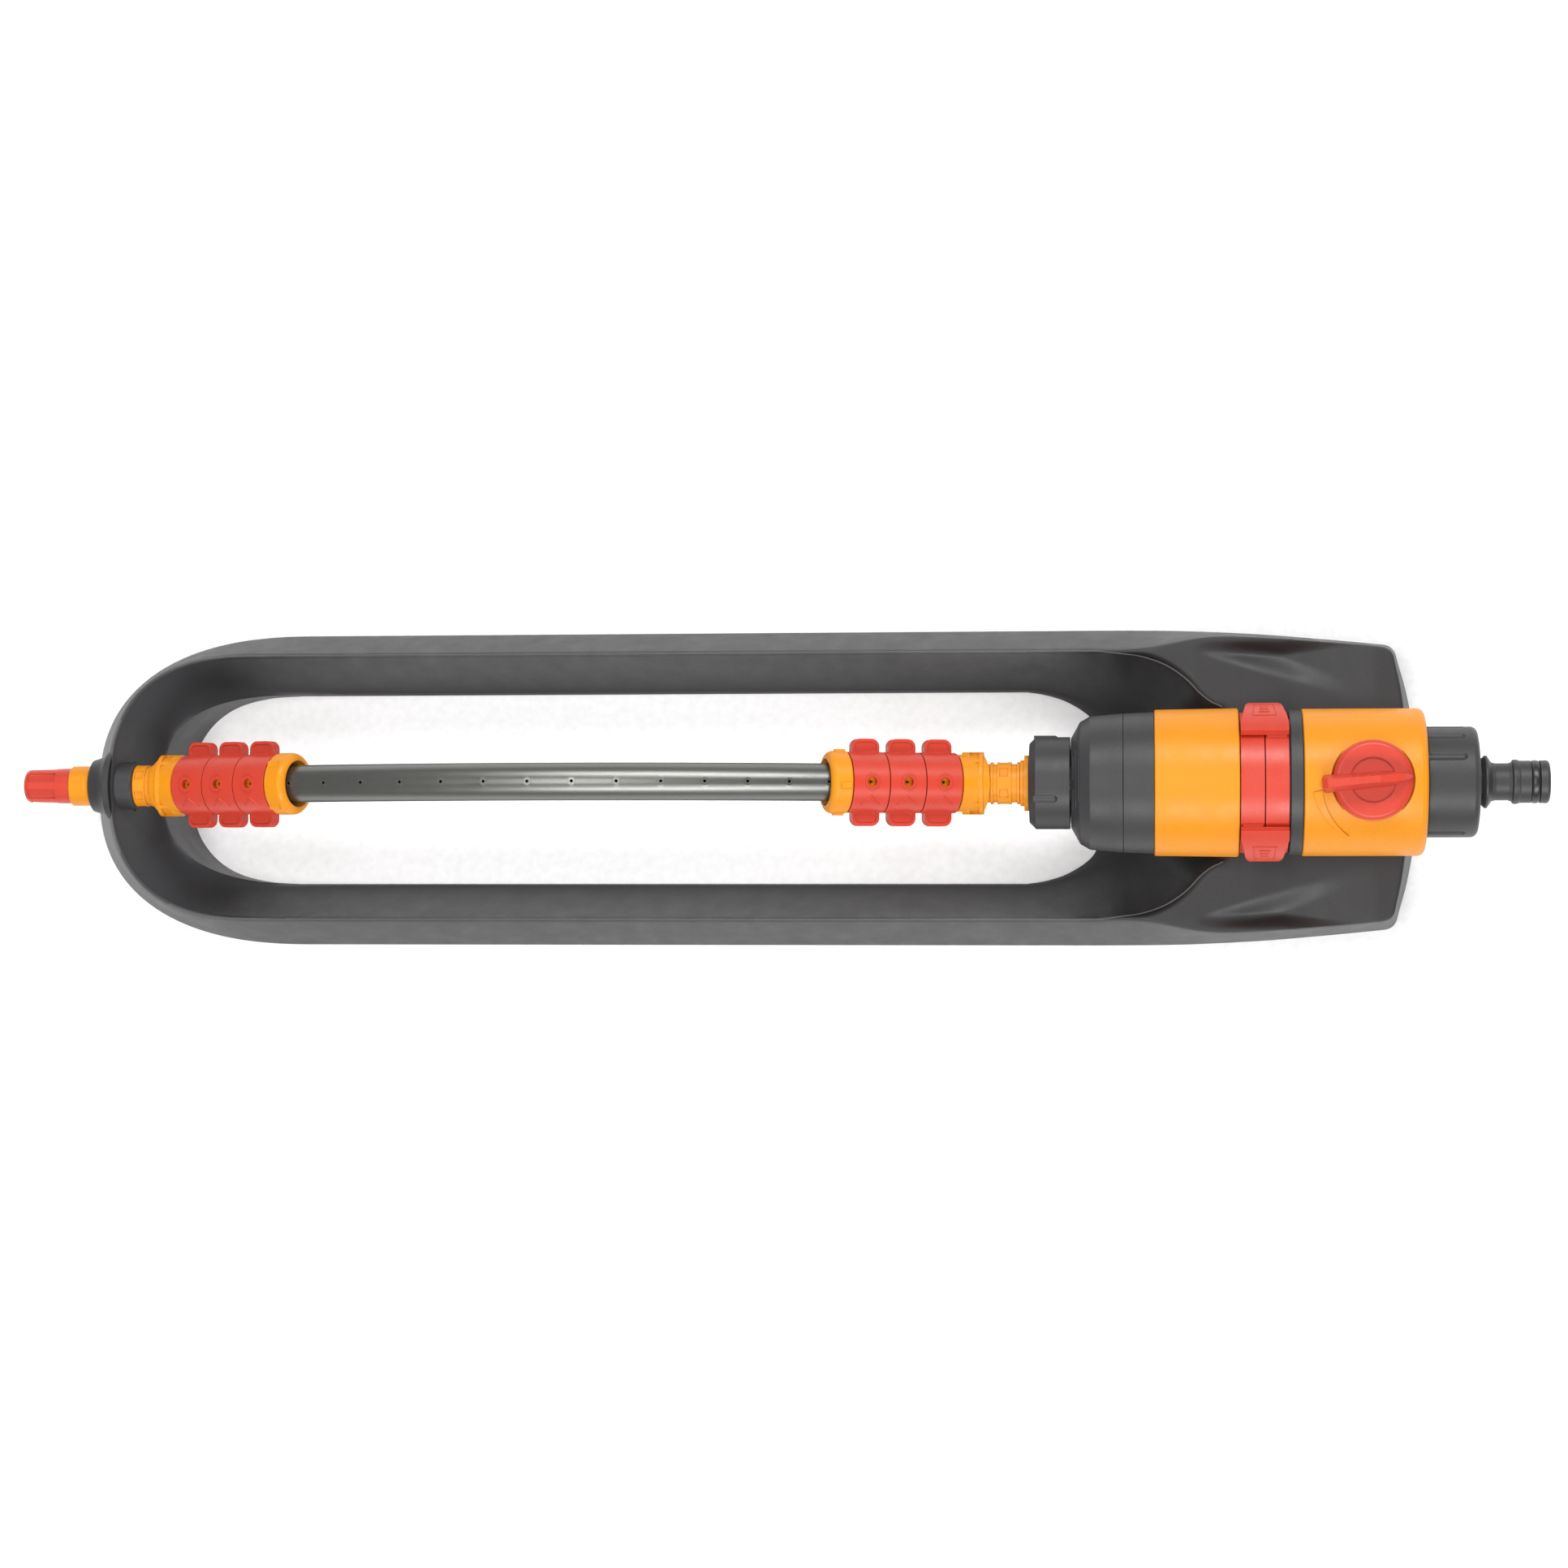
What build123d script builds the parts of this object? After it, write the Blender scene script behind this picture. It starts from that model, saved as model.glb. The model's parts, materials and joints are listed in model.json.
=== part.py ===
"""Oscillating lawn sprinkler: sled base, water motor, arched spray tube with shutter rings.

Millimetres, +Z up, +X towards the hose connector.  The origin lies on the ground plane,
midway along the overall length.
"""
from math import acos, cos, degrees, pi, radians, sin, sqrt, tan
import os

from build123d import *

os.makedirs("parts", exist_ok=True)

# ---------------------------------------------------------------- driving dimensions
AXIS_HEIGHT = 62.0            # motor and spray arm axis above the ground
RUN_CLEARANCE = 0.05          # radial clearance of every running fit
WALL = 2.6                    # moulded wall thickness

# spray arm
ARM_CENTRE_X = -77.5          # middle of the arch
ROOT_HALF_SPAN = 156.2        # from the arch middle to where a block axis meets the main axis
BLOCK_TILT = 20.0             # slope of the jet blocks and of the tube ends, degrees
TUBE_START = 57.6             # along the block axis, where the arch begins
TUBE_RADIUS = 7.0
TUBE_BORE = 5.8
TUBE_JETS = 14
JET_PITCH = 16.1
JET_PITCH_FADE = 0.035        # the jets close up by this share towards the tube ends
JET_INSERT_RADIUS = 1.5
JET_ORIFICE_RADIUS = 0.55
BLOCK_RADIUS = 9.3
BLOCK_BORE = 3.5
RING_FIRST = 17.5             # along the block axis
RING_PITCH = 14.0
RING_WIDTH = 13.6
RING_RADIUS = 11.3
RING_TAB_REACH = 16.2
RING_TAB_WIDTH = 10.4
RING_TAB_THICKNESS = 4.4
RING_TAB_CORNER = 3.0
RING_TAB_BORDER = 1.1
RING_TAB_INSET = 0.45
RING_HOLE_RADIUS = 1.8
RING_COUNT = 3
COLLAR_RADIUS = 11.6
COLLAR_START = 52.6
COLLAR_END = 60.6
COLLAR_MOUTH = 8.8
COLLAR_ROUNDING = 2.6
COLLAR_NUB_RADIUS = 1.5
HUB_RADIUS = 11.7
HUB_LENGTH = 8.0
HUB_POCKETS = 8
HUB_POCKET_DEPTH = 1.6
NECK_RADIUS = 6.9
NECK_BODY_RADIUS = 7.2
NECK_BAND_RADIUS = 7.9
# neck bands as shares of the way from hub to bearing or nut
LEFT_NECK_BANDS = ((0.0, 0.10), (0.20, 0.30), (0.42, 0.78), (0.88, 1.0))
RIGHT_NECK_BANDS = ((0.0, 0.05), (0.14, 0.20), (0.28, 0.57), (0.68, 0.74))
JOURNAL_RADIUS = 6.0
HUB_OVERHANG = 1.0
BLOCK_FOOT = 10.0
FLANGE_RADIUS = 9.6
TUBE_TAIL = 2.4
SEAL_OUTER = 8.6
SEAL_THICKNESS = 1.6
TOOL_PLUG_RADIUS = 3.4
TOOL_FLUTES = 6
TOOL_FLUTE_LENGTH = 10.6
TOOL_FLUTE_FLOOR = 5.5
NEEDLE_RADIUS = 0.6
NEEDLE_END_X = -236.0

# front end
BOSS_FACE_X = -261.5
BOSS_INNER_X = -247.4
NECK_START_X = -247.1
END_SLEEVE_X = -269.8
TOOL_TIP_X = -287.8

# motor, from the arm side to the hose side
NUT_X = 96.8
NUT_LENGTH = 15.1
NUT_RADIUS = 17.2
NUT_RIB_RADIUS = 1.5
NUT_RIB_LENGTH = 7.6
NUT_RIB_ANGLE = 111.5         # from +Y towards +Z
CASING_X = 112.3
SEAM_X = 131.7
SLEEVE_X = 143.1
RANGE_X = 174.2
SPACER_X = 192.3
FLOW_X = 197.2
CAP_X = 242.3
CAP_END_X = 261.4
CONNECTOR_TIP_X = 287.7
CASING_RADIUS = 25.9
CASING_END_RADIUS = 26.4
SLEEVE_RADIUS = 27.2
SLEEVE_END_RADIUS = 27.6
FLOW_RADIUS = 27.3
DRUM_RADIUS = 22.6
RANGE_BAND_RADIUS = 26.0
RANGE_TAB_RADIUS = 30.0
CAP_RADIUS = 20.5
KNOB_X = 221.9
KNOB_RADIUS = 14.7
KNOB_FLOOR = 87.2
BLADE_ANGLE = 4.8

# gear train
MODULE = 0.5
PRESSURE_ANGLE = 25.0
BACKLASH = 0.12
ADDENDUM = 0.85
DEDENDUM = 1.2
PINION_TEETH = 12
OUTPUT_TEETH = 42
WHEEL_TEETH = 30
GEAR_WIDTH = 3.6
GEARBOX_RADIUS = 22.0
PLATE_X = 141.0
PLATE_THICKNESS = 2.0
PIN_RADIUS = 1.0

SHAFT_RADIUS = 1.5
ROTOR_X = 177.5
ROTOR_WIDTH = 8.0
ROTOR_BLADES = 10
STATOR_X = 187.5
STATOR_THICKNESS = 3.0
CHAMBER_RADIUS = 20.4
REVERSER_DISTANCE = 18.0
TAB_NEAR = 38.0               # tab edges, degrees from the top
TAB_SPAN = 40.0
TAB_TIP_HALF = 6.5
TAB_CORNER = 2.2
BAFFLE_X = 230.0
SPIGOT_RADIUS = 17.0
PASSAGE_RADIUS = 5.5
BARREL_RADIUS = 8.0
SPINDLE_RADIUS = 4.0
SPINDLE_RING_Z = 79.0
FILTER_X = 232.8
NECK_BORE = 8.3
CONNECTOR_BORE = 5.0
CAP_FLUTE_RADIUS = 2.2
CAP_FLUTE_LENGTH = 12.6
CAP_FLUTE_ANGLES = (25.6, 53.0, 80.0, 107.0, 134.0, 161.0, 188.0, 215.0, 242.0, 292.0)

# sled base
NOSE_CENTRE_X = -190.0
NOSE_LENGTH = 88.0
NOSE_POWER = 2.43
SLED_HALF_WIDTH = 61.5
SIDE_DRAFT = 14.0
FRONT_DRAFT = 18.3
REAR_DRAFT = 9.5
SLED_REAR_X = 245.0
SLED_CORNER_X = 235.0
SLED_CORNER_Y = 55.0
DECK_HEIGHT = 42.0
HOLE_HALF_WIDTH = 37.5
HOLE_FRONT = 28.7
HOLE_REAR_X = 121.5
HOLE_SIDE_SLOPE = 0.384
HOLE_FRONT_SLOPE = 0.474
HOLE_REAR_SLOPE = 1.15
HOOD_HEIGHT = 44.0
LOFT_TOP = 80.0
SLED_WALL = 3.0
TROUGH_RADIUS = 28.6
MOTOR_SCREWS = [(137.4, 13.0), (137.4, -13.0), (228.0, 13.0), (228.0, -13.0)]
FOOT_HEIGHT = 34.0
SCREW_RADIUS = 2.0
SCREW_HEAD_RADIUS = 3.6
SCREW_HEAD_HEIGHT = 2.4
SCREW_SEAT_HEIGHT = 27.0
SCREW_TIP_HEIGHT = 39.5
FOOT_RADIUS = 4.6
BUSH_RADIUS = 8.0
NECK_POCKET_RADIUS = 10.6

# ---------------------------------------------------------------- derived places
MAIN_AXIS = Axis((0, 0, AXIS_HEIGHT), (1, 0, 0))
LEFT = -1
RIGHT = 1
PITCH_PINION = MODULE * PINION_TEETH / 2
PITCH_OUTPUT = MODULE * OUTPUT_TEETH / 2
PITCH_WHEEL = MODULE * WHEEL_TEETH / 2
FIRST_DISTANCE = PITCH_OUTPUT + PITCH_PINION
SECOND_DISTANCE = PITCH_WHEEL + PITCH_PINION
SECOND_ANGLE_COS = FIRST_DISTANCE / (2 * SECOND_DISTANCE)
FIRST_PIN = (0.0, -FIRST_DISTANCE)
SECOND_PIN = (SECOND_DISTANCE * sqrt(1 - SECOND_ANGLE_COS**2), -SECOND_DISTANCE * SECOND_ANGLE_COS)
LAYER_1_X = PLATE_X + PLATE_THICKNESS + 0.5
MID_PLATE_X = LAYER_1_X + GEAR_WIDTH + 0.5
LAYER_2_X = MID_PLATE_X + PLATE_THICKNESS + 0.5
LAYER_3_X = LAYER_2_X + GEAR_WIDTH + 0.4
REAR_PLATE_X = LAYER_3_X + GEAR_WIDTH + 0.5


def across(x):
    """Plane square to the main axis at x: its local x is +Y and its local y is +Z."""
    return Plane((x, 0, AXIS_HEIGHT), x_dir=(0, 1, 0), z_dir=(1, 0, 0))


def turn(points, axis=MAIN_AXIS, mode=Mode.ADD):
    """Revolve a closed (x, radius) outline about the main axis."""
    with BuildSketch(Plane.XZ) as profile:
        with BuildLine():
            Polyline(*[(x, AXIS_HEIGHT + r) for x, r in points], close=True)
        make_face()
    revolve(profile.sketch, axis=axis, mode=mode)


def tube_run(x0, x1, outer, inner=0.0, mode=Mode.ADD):
    """A plain tube or disc on the main axis from x0 to x1."""
    with BuildSketch(across(x0)) as section:
        Circle(outer)
        if inner > 0:
            Circle(inner, mode=Mode.SUBTRACT)
    extrude(section.sketch, amount=x1 - x0, mode=mode)


def block_root(side):
    return ARM_CENTRE_X + side * ROOT_HALF_SPAN


def block_plane(side, s):
    """Plane square to a jet block's axis at distance s; local x is +Y, local y points up."""
    tilt = radians(BLOCK_TILT)
    along = Vector(-side * cos(tilt), 0, sin(tilt))
    origin = Vector(block_root(side), 0, AXIS_HEIGHT) + along * s
    return Plane(origin, x_dir=(0, 1, 0), z_dir=along)


def up_sign(side):
    """Sign of the local y that points away from the ground on a jet block's plane."""
    return 1 if block_plane(side, 0).y_dir.Z > 0 else -1


def keep(builder, name):
    builder.part.label = name
    export_step(builder.part, f"parts/{name}.step")


# ---------------------------------------------------------------- sled base
def nose_points(length, half_width, power):
    """Superellipse nose from the +Y side round the front to the -Y side."""
    points = []
    for step in range(-6, 7):
        angle = radians(90 * step / 6)
        reach = length * cos(angle) ** (2 / power)
        swing = half_width * abs(sin(angle)) ** (2 / power)
        points.append((NOSE_CENTRE_X - reach, swing if step < 0 else -swing))
    return points


def sled_outline(z, inset):
    """Outer outline of the sled at height z, moved inwards by inset."""
    side = z * tan(radians(SIDE_DRAFT)) + inset
    front = z * tan(radians(FRONT_DRAFT)) + inset
    rear = z * tan(radians(REAR_DRAFT)) + inset
    half = SLED_HALF_WIDTH - side
    corner = (SLED_CORNER_X - rear, SLED_CORNER_Y - side)
    flank_end = (125.0, half)
    flank_mid = (185.0, half - 1.6)
    with BuildSketch(Plane.XY.offset(z)) as outline:
        with BuildLine():
            Spline(
                *nose_points(NOSE_LENGTH - front, half, NOSE_POWER),
                tangents=[(-1, 0), (1, 0)],
            )
            for sign in (1, -1):
                Line((NOSE_CENTRE_X, sign * half), (flank_end[0], sign * half))
                ThreePointArc(
                    (flank_end[0], sign * half),
                    (flank_mid[0], sign * flank_mid[1]),
                    (corner[0], sign * corner[1]),
                )
            ThreePointArc(corner, (SLED_REAR_X - rear, 0), (corner[0], -corner[1]))
        make_face()
    return outline.sketch


def hole_outline(z, outset):
    """Outline of the central opening at height z, moved outwards by outset."""
    half = HOLE_HALF_WIDTH + HOLE_SIDE_SLOPE * z + outset
    front = HOLE_FRONT + HOLE_FRONT_SLOPE * z + outset
    rear = HOLE_REAR_X + HOLE_REAR_SLOPE * z + outset
    corner = 30.0 + 0.3 * z
    with BuildSketch(Plane.XY.offset(z)) as outline:
        with BuildLine():
            Spline(*nose_points(front, half, 2.1), tangents=[(-1, 0), (1, 0)])
            for sign in (1, -1):
                Line((NOSE_CENTRE_X, sign * half), (rear - corner, sign * half))
                ThreePointArc(
                    (rear - corner, sign * half),
                    (rear - corner * (1 - sqrt(0.5)), sign * (half - corner * (1 - sqrt(0.5)))),
                    (rear, sign * (half - corner)),
                )
            Line((rear, half - corner), (rear, corner - half))
        make_face()
    return outline.sketch


def ruled(bottom, top):
    """Ruled solid between two outlines, kept apart from any part being built."""
    return loft([bottom, top], ruled=True, mode=Mode.PRIVATE)


sled_outer = ruled(sled_outline(0, 0), sled_outline(LOFT_TOP, 0))
sled_inner = ruled(sled_outline(-1, SLED_WALL), sled_outline(LOFT_TOP, SLED_WALL))
opening = ruled(hole_outline(-1, 0), hole_outline(LOFT_TOP, 0))
opening_skin = ruled(hole_outline(-1, SLED_WALL), hole_outline(LOFT_TOP, SLED_WALL))

with BuildPart() as deck_limit:
    with BuildSketch(Plane.XZ) as deck_side:
        with BuildLine():
            Polyline(
                (-165, DECK_HEIGHT), (-165, LOFT_TOP + 10), (260, LOFT_TOP + 10),
                (260, DECK_HEIGHT), close=True,
            )
        make_face()
    extrude(amount=80, both=True)

with BuildPart() as cavity_space:
    add(sled_inner)
    add(opening_skin, mode=Mode.SUBTRACT)
    with Locations((50, 0, DECK_HEIGHT - SLED_WALL + 40)):
        Box(430, 160, 80, mode=Mode.SUBTRACT)
    tube_run(100, 262, TROUGH_RADIUS + SLED_WALL, mode=Mode.SUBTRACT)

with BuildPart() as hood_window:
    with BuildSketch(Plane.XY.offset(-1)):
        with BuildLine():
            Spline(
                *nose_points(60.5, HOLE_HALF_WIDTH, 2.1), tangents=[(-1, 0), (1, 0)]
            )
            Line((NOSE_CENTRE_X, HOLE_HALF_WIDTH), (NOSE_CENTRE_X, -HOLE_HALF_WIDTH))
        make_face()
    extrude(amount=HOOD_HEIGHT + 1)

with BuildPart() as window_skin:
    with BuildSketch(Plane.XY.offset(-1)):
        with BuildLine():
            Spline(
                *nose_points(60.5 + SLED_WALL, HOLE_HALF_WIDTH + SLED_WALL, 2.1),
                tangents=[(-1, 0), (1, 0)],
            )
            Line(
                (NOSE_CENTRE_X, HOLE_HALF_WIDTH + SLED_WALL),
                (NOSE_CENTRE_X, -HOLE_HALF_WIDTH - SLED_WALL),
            )
        make_face()
    extrude(amount=HOOD_HEIGHT + SLED_WALL)

with BuildPart() as under_ribs:
    with Locations((192, 0, 0)):
        Box(92, 2.2, LOFT_TOP * 2)
    for x in (152, 197):
        with Locations((x, 0, 0)):
            Box(2.2, 120, LOFT_TOP * 2)
    for x in (-150, -80, -10, 60, 116):
        with Locations((x, 0, 0)):
            Box(2.2, 130, LOFT_TOP * 2)
    add(sled_inner, mode=Mode.INTERSECT)
    add(opening_skin, mode=Mode.SUBTRACT)
    with Locations((0, 0, -4)):
        Box(600, 200, 10, mode=Mode.SUBTRACT)
    with Locations((50, 0, DECK_HEIGHT - 1 + 40)):
        Box(430, 160, 80, mode=Mode.SUBTRACT)
    tube_run(100, 262, TROUGH_RADIUS + 1, mode=Mode.SUBTRACT)

with BuildPart() as sled_base:
    add(sled_outer)
    add(opening, mode=Mode.SUBTRACT)
    add(deck_limit.part, mode=Mode.SUBTRACT)
    tube_run(100, 262, TROUGH_RADIUS, mode=Mode.SUBTRACT)
    add(cavity_space.part - window_skin.part, mode=Mode.SUBTRACT)
    add(under_ribs.part)
    add(hood_window.part, mode=Mode.SUBTRACT)
    tube_run(BOSS_FACE_X, -252, 10.0)
    tube_run(-252, BOSS_INNER_X, 9.0)
    tube_run(BOSS_INNER_X, -225, NECK_POCKET_RADIUS, mode=Mode.SUBTRACT)
    tube_run(BOSS_FACE_X - 1, BOSS_INNER_X + 1, BUSH_RADIUS, mode=Mode.SUBTRACT)
    with Locations(*[(x, y, 8) for x, y in MOTOR_SCREWS]):
        Cylinder(5.5, FOOT_HEIGHT - 8, align=(Align.CENTER, Align.CENTER, Align.MIN))
    with Locations(*[(x, y, 0) for x, y in MOTOR_SCREWS]):
        Cylinder(
            SCREW_HEAD_RADIUS + 0.3, SCREW_SEAT_HEIGHT,
            align=(Align.CENTER, Align.CENTER, Align.MIN), mode=Mode.SUBTRACT,
        )
        Cylinder(
            SCREW_RADIUS + 0.2, FOOT_HEIGHT + 1,
            align=(Align.CENTER, Align.CENTER, Align.MIN), mode=Mode.SUBTRACT,
        )
    with Locations(*[(x, y, FOOT_HEIGHT) for x, y in MOTOR_SCREWS]):
        Cylinder(
            FOOT_RADIUS + 0.1, 8,
            align=(Align.CENTER, Align.CENTER, Align.MIN), mode=Mode.SUBTRACT,
        )
keep(sled_base, "sled_base")

with BuildPart() as base_screws:
    for x, y in MOTOR_SCREWS:
        with BuildSketch(Plane.XY.offset(SCREW_SEAT_HEIGHT - SCREW_HEAD_HEIGHT)) as head:
            with Locations((x, y)):
                Circle(SCREW_HEAD_RADIUS)
                RegularPolygon(1.6, 4, mode=Mode.SUBTRACT)
        extrude(amount=SCREW_HEAD_HEIGHT)
        with BuildSketch(Plane.XY.offset(SCREW_SEAT_HEIGHT - 0.6)) as shank:
            with Locations((x, y)):
                Circle(SCREW_RADIUS)
        extrude(amount=SCREW_TIP_HEIGHT - SCREW_SEAT_HEIGHT + 0.6)
keep(base_screws, "base_screws")

with BuildPart() as front_bearing_bush:
    tube_run(BOSS_FACE_X, BOSS_INNER_X, BUSH_RADIUS, JOURNAL_RADIUS + RUN_CLEARANCE)
keep(front_bearing_bush, "front_bearing_bush")


# ---------------------------------------------------------------- spray arm
def tube_arc():
    """Centre and radius of the arch of the spray tube."""
    tilt = radians(BLOCK_TILT)
    half_chord = ROOT_HALF_SPAN - TUBE_START * cos(tilt)
    radius = half_chord / sin(tilt)
    centre_z = AXIS_HEIGHT + TUBE_START * sin(tilt) - radius * cos(tilt)
    return centre_z, radius


ARC_CENTRE_Z, ARC_RADIUS = tube_arc()
ARC_AXIS = Axis((ARM_CENTRE_X, 0, ARC_CENTRE_Z), (0, 1, 0))


def arc_plane(angle):
    """Plane square to the arch at an angle from its top, local x along +Y."""
    swing = radians(angle)
    outward = Vector(sin(swing), 0, cos(swing))
    origin = Vector(ARM_CENTRE_X, 0, ARC_CENTRE_Z) + outward * ARC_RADIUS
    return Plane(origin, x_dir=(0, 1, 0), z_dir=(cos(swing), 0, -sin(swing)))


def jet_angles():
    """Angles of the tube jets, a little closer together towards the tube ends."""
    middle = (TUBE_JETS - 1) / 2
    angles = []
    for number in range(TUBE_JETS):
        place = (number - middle) / middle
        length = JET_PITCH * middle * place * (1 - JET_PITCH_FADE * place**2)
        angles.append(length / ARC_RADIUS * 180 / pi)
    return angles


def jet_plane(angle):
    """Plane on the arch centre line whose normal points straight out of the arch."""
    plane = arc_plane(angle)
    swing = radians(angle)
    return Plane(plane.origin, x_dir=(0, 1, 0), z_dir=(sin(swing), 0, cos(swing)))


with BuildPart() as jet_drills:
    for angle in jet_angles():
        with BuildSketch(jet_plane(angle).offset(TUBE_BORE - 2)) as jet_seat:
            Circle(JET_INSERT_RADIUS)
        extrude(jet_seat.sketch, amount=4)

with BuildPart() as spray_tube:
    with BuildSketch(arc_plane(-BLOCK_TILT)) as tube_section:
        Circle(TUBE_RADIUS)
        Circle(TUBE_BORE, mode=Mode.SUBTRACT)
    revolve(tube_section.sketch, axis=ARC_AXIS, revolution_arc=2 * BLOCK_TILT)
    add(jet_drills.part, mode=Mode.SUBTRACT)
    for side in (LEFT, RIGHT):
        with BuildSketch(block_plane(side, TUBE_START)) as tube_end:
            Circle(TUBE_RADIUS)
            Circle(TUBE_BORE, mode=Mode.SUBTRACT)
        extrude(tube_end.sketch, amount=-TUBE_TAIL)
keep(spray_tube, "spray_tube")

with BuildPart() as tube_jets:
    for angle in jet_angles():
        outer_plane = jet_plane(angle).offset(TUBE_BORE + 0.1)
        with BuildSketch(outer_plane) as insert_body:
            Circle(JET_INSERT_RADIUS)
            Circle(JET_ORIFICE_RADIUS, mode=Mode.SUBTRACT)
        extrude(insert_body.sketch, amount=TUBE_RADIUS - TUBE_BORE)
keep(tube_jets, "tube_jets")


def jet_carrier(side):
    """Jet block with its hub and ribbed neck, drilled from the neck up to the tube."""
    root_x = block_root(side)
    hub_out = root_x + side * HUB_OVERHANG
    hub_in = hub_out - side * HUB_LENGTH
    neck_end = NECK_START_X if side == LEFT else NUT_X + 1.2
    up = up_sign(side)
    with BuildPart() as carrier:
        tube_run(min(hub_in, hub_out), max(hub_in, hub_out), HUB_RADIUS)
        with BuildSketch(across(min(hub_out - side * 1.6, hub_out - side * 5.0))) as hub_pockets:
            with PolarLocations(HUB_RADIUS + 1.4, HUB_POCKETS, start_angle=22.5):
                Rectangle(2.8 + 2 * HUB_POCKET_DEPTH, 7.2)
        extrude(hub_pockets.sketch, amount=3.4, mode=Mode.SUBTRACT)
        with BuildSketch(block_plane(side, 0)) as block_section:
            Circle(BLOCK_RADIUS)
        extrude(block_section.sketch, amount=TUBE_START - TUBE_TAIL)
        with BuildSketch(block_plane(side, 0)) as block_foot:
            Circle(BLOCK_RADIUS + 1.4)
        extrude(block_foot.sketch, amount=BLOCK_FOOT)
        tube_run(min(hub_out, neck_end), max(hub_out, neck_end), NECK_BODY_RADIUS)
        for band in LEFT_NECK_BANDS if side == LEFT else RIGHT_NECK_BANDS:
            band_ends = [hub_out + (neck_end - hub_out) * share for share in band]
            tube_run(min(band_ends), max(band_ends), NECK_BAND_RADIUS)
        band_root = hub_out + (neck_end - hub_out) * (0.48 if side == LEFT else 0.33)
        with BuildSketch(across(min(band_root, band_root + side * 3.2))) as band_pockets:
            with PolarLocations(NECK_BAND_RADIUS, 6, start_angle=60):
                Rectangle(1.3, 3.6)
        extrude(band_pockets.sketch, amount=3.2, mode=Mode.SUBTRACT)
        if side == LEFT:
            tube_run(END_SLEEVE_X, NECK_START_X, JOURNAL_RADIUS)
        else:
            tube_run(NUT_X - 3.4, NUT_X - 1.9, 8.6)
            tube_run(NUT_X - 1.9, NUT_X - 0.3, 10.4)
            tube_run(NUT_X - 1.0, NUT_X + 4.0, NECK_RADIUS)
            tube_run(NUT_X + 2.2, NUT_X + 4.4, FLANGE_RADIUS)
        far_end = END_SLEEVE_X if side == LEFT else NUT_X + 4.4
        tube_run(min(root_x, far_end), max(root_x, far_end), BLOCK_BORE, mode=Mode.SUBTRACT)
        with BuildSketch(block_plane(side, 0)) as block_bore:
            Circle(BLOCK_BORE)
        extrude(block_bore.sketch, amount=TUBE_START, mode=Mode.SUBTRACT)
        for number in range(RING_COUNT):
            hole_plane = block_plane(side, RING_FIRST + number * RING_PITCH)
            outward = hole_plane.y_dir * up
            drill = Plane(hole_plane.origin, x_dir=(0, 1, 0), z_dir=outward)
            with BuildSketch(drill) as orifice:
                Circle(JET_ORIFICE_RADIUS)
            extrude(orifice.sketch, amount=BLOCK_RADIUS + 1, mode=Mode.SUBTRACT)
    return carrier


left_jet_carrier = jet_carrier(LEFT)
keep(left_jet_carrier, "left_jet_carrier")
right_jet_carrier = jet_carrier(RIGHT)
keep(right_jet_carrier, "right_jet_carrier")


def shutter_ring(side, number):
    """Shutter ring round a jet block: a hole over the jet and a finger tab on each side."""
    middle = RING_FIRST + number * RING_PITCH
    up = up_sign(side)
    with BuildPart() as ring:
        with BuildSketch(block_plane(side, middle - RING_WIDTH / 2)):
            Circle(RING_RADIUS)
        extrude(amount=RING_WIDTH)
        with BuildSketch(block_plane(side, middle - RING_TAB_WIDTH / 2)):
            for sign in (1, -1):
                with Locations((sign * RING_TAB_REACH / 2, 0)):
                    Rectangle(RING_TAB_REACH, RING_TAB_THICKNESS)
        extrude(amount=RING_TAB_WIDTH)
        corner_edges = [
            edge for edge in ring.edges()
            if edge.geom_type == GeomType.LINE
            and abs(abs(edge.center().Y) - RING_TAB_REACH) < 0.01
            and abs(edge.tangent_at(0).Z) > 0.5
        ]
        fillet(corner_edges, RING_TAB_CORNER)
        with BuildSketch(block_plane(side, middle - RING_WIDTH / 2)):
            Circle(BLOCK_RADIUS + RUN_CLEARANCE)
        extrude(amount=RING_WIDTH, mode=Mode.SUBTRACT)
        hole_plane = block_plane(side, middle)
        drill = Plane(hole_plane.origin, x_dir=(0, 1, 0), z_dir=hole_plane.y_dir * up)
        face_reach = RING_TAB_REACH - RING_TAB_BORDER - RING_RADIUS
        for face in (1, -1):
            tab_face = Plane(
                hole_plane.origin + drill.z_dir * (face * RING_TAB_THICKNESS / 2),
                x_dir=(0, 1, 0), z_dir=drill.z_dir * face,
            )
            with BuildSketch(tab_face):
                for sign in (1, -1):
                    with Locations((sign * (RING_RADIUS + face_reach / 2), 0)):
                        RectangleRounded(face_reach, RING_TAB_WIDTH - 2 * RING_TAB_BORDER, 1.8)
            extrude(amount=-RING_TAB_INSET, mode=Mode.SUBTRACT)
        with BuildSketch(drill.offset(RING_RADIUS - 0.6)):
            Circle(RING_HOLE_RADIUS + 1.0)
        extrude(amount=1.0)
        with BuildSketch(drill.offset(BLOCK_RADIUS - 2)):
            Circle(RING_HOLE_RADIUS)
        extrude(amount=6, mode=Mode.SUBTRACT)
    return ring


for side, side_name in ((LEFT, "left"), (RIGHT, "right")):
    for number in range(RING_COUNT):
        keep(shutter_ring(side, number), f"{side_name}_shutter_ring_{number + 1}")


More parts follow.
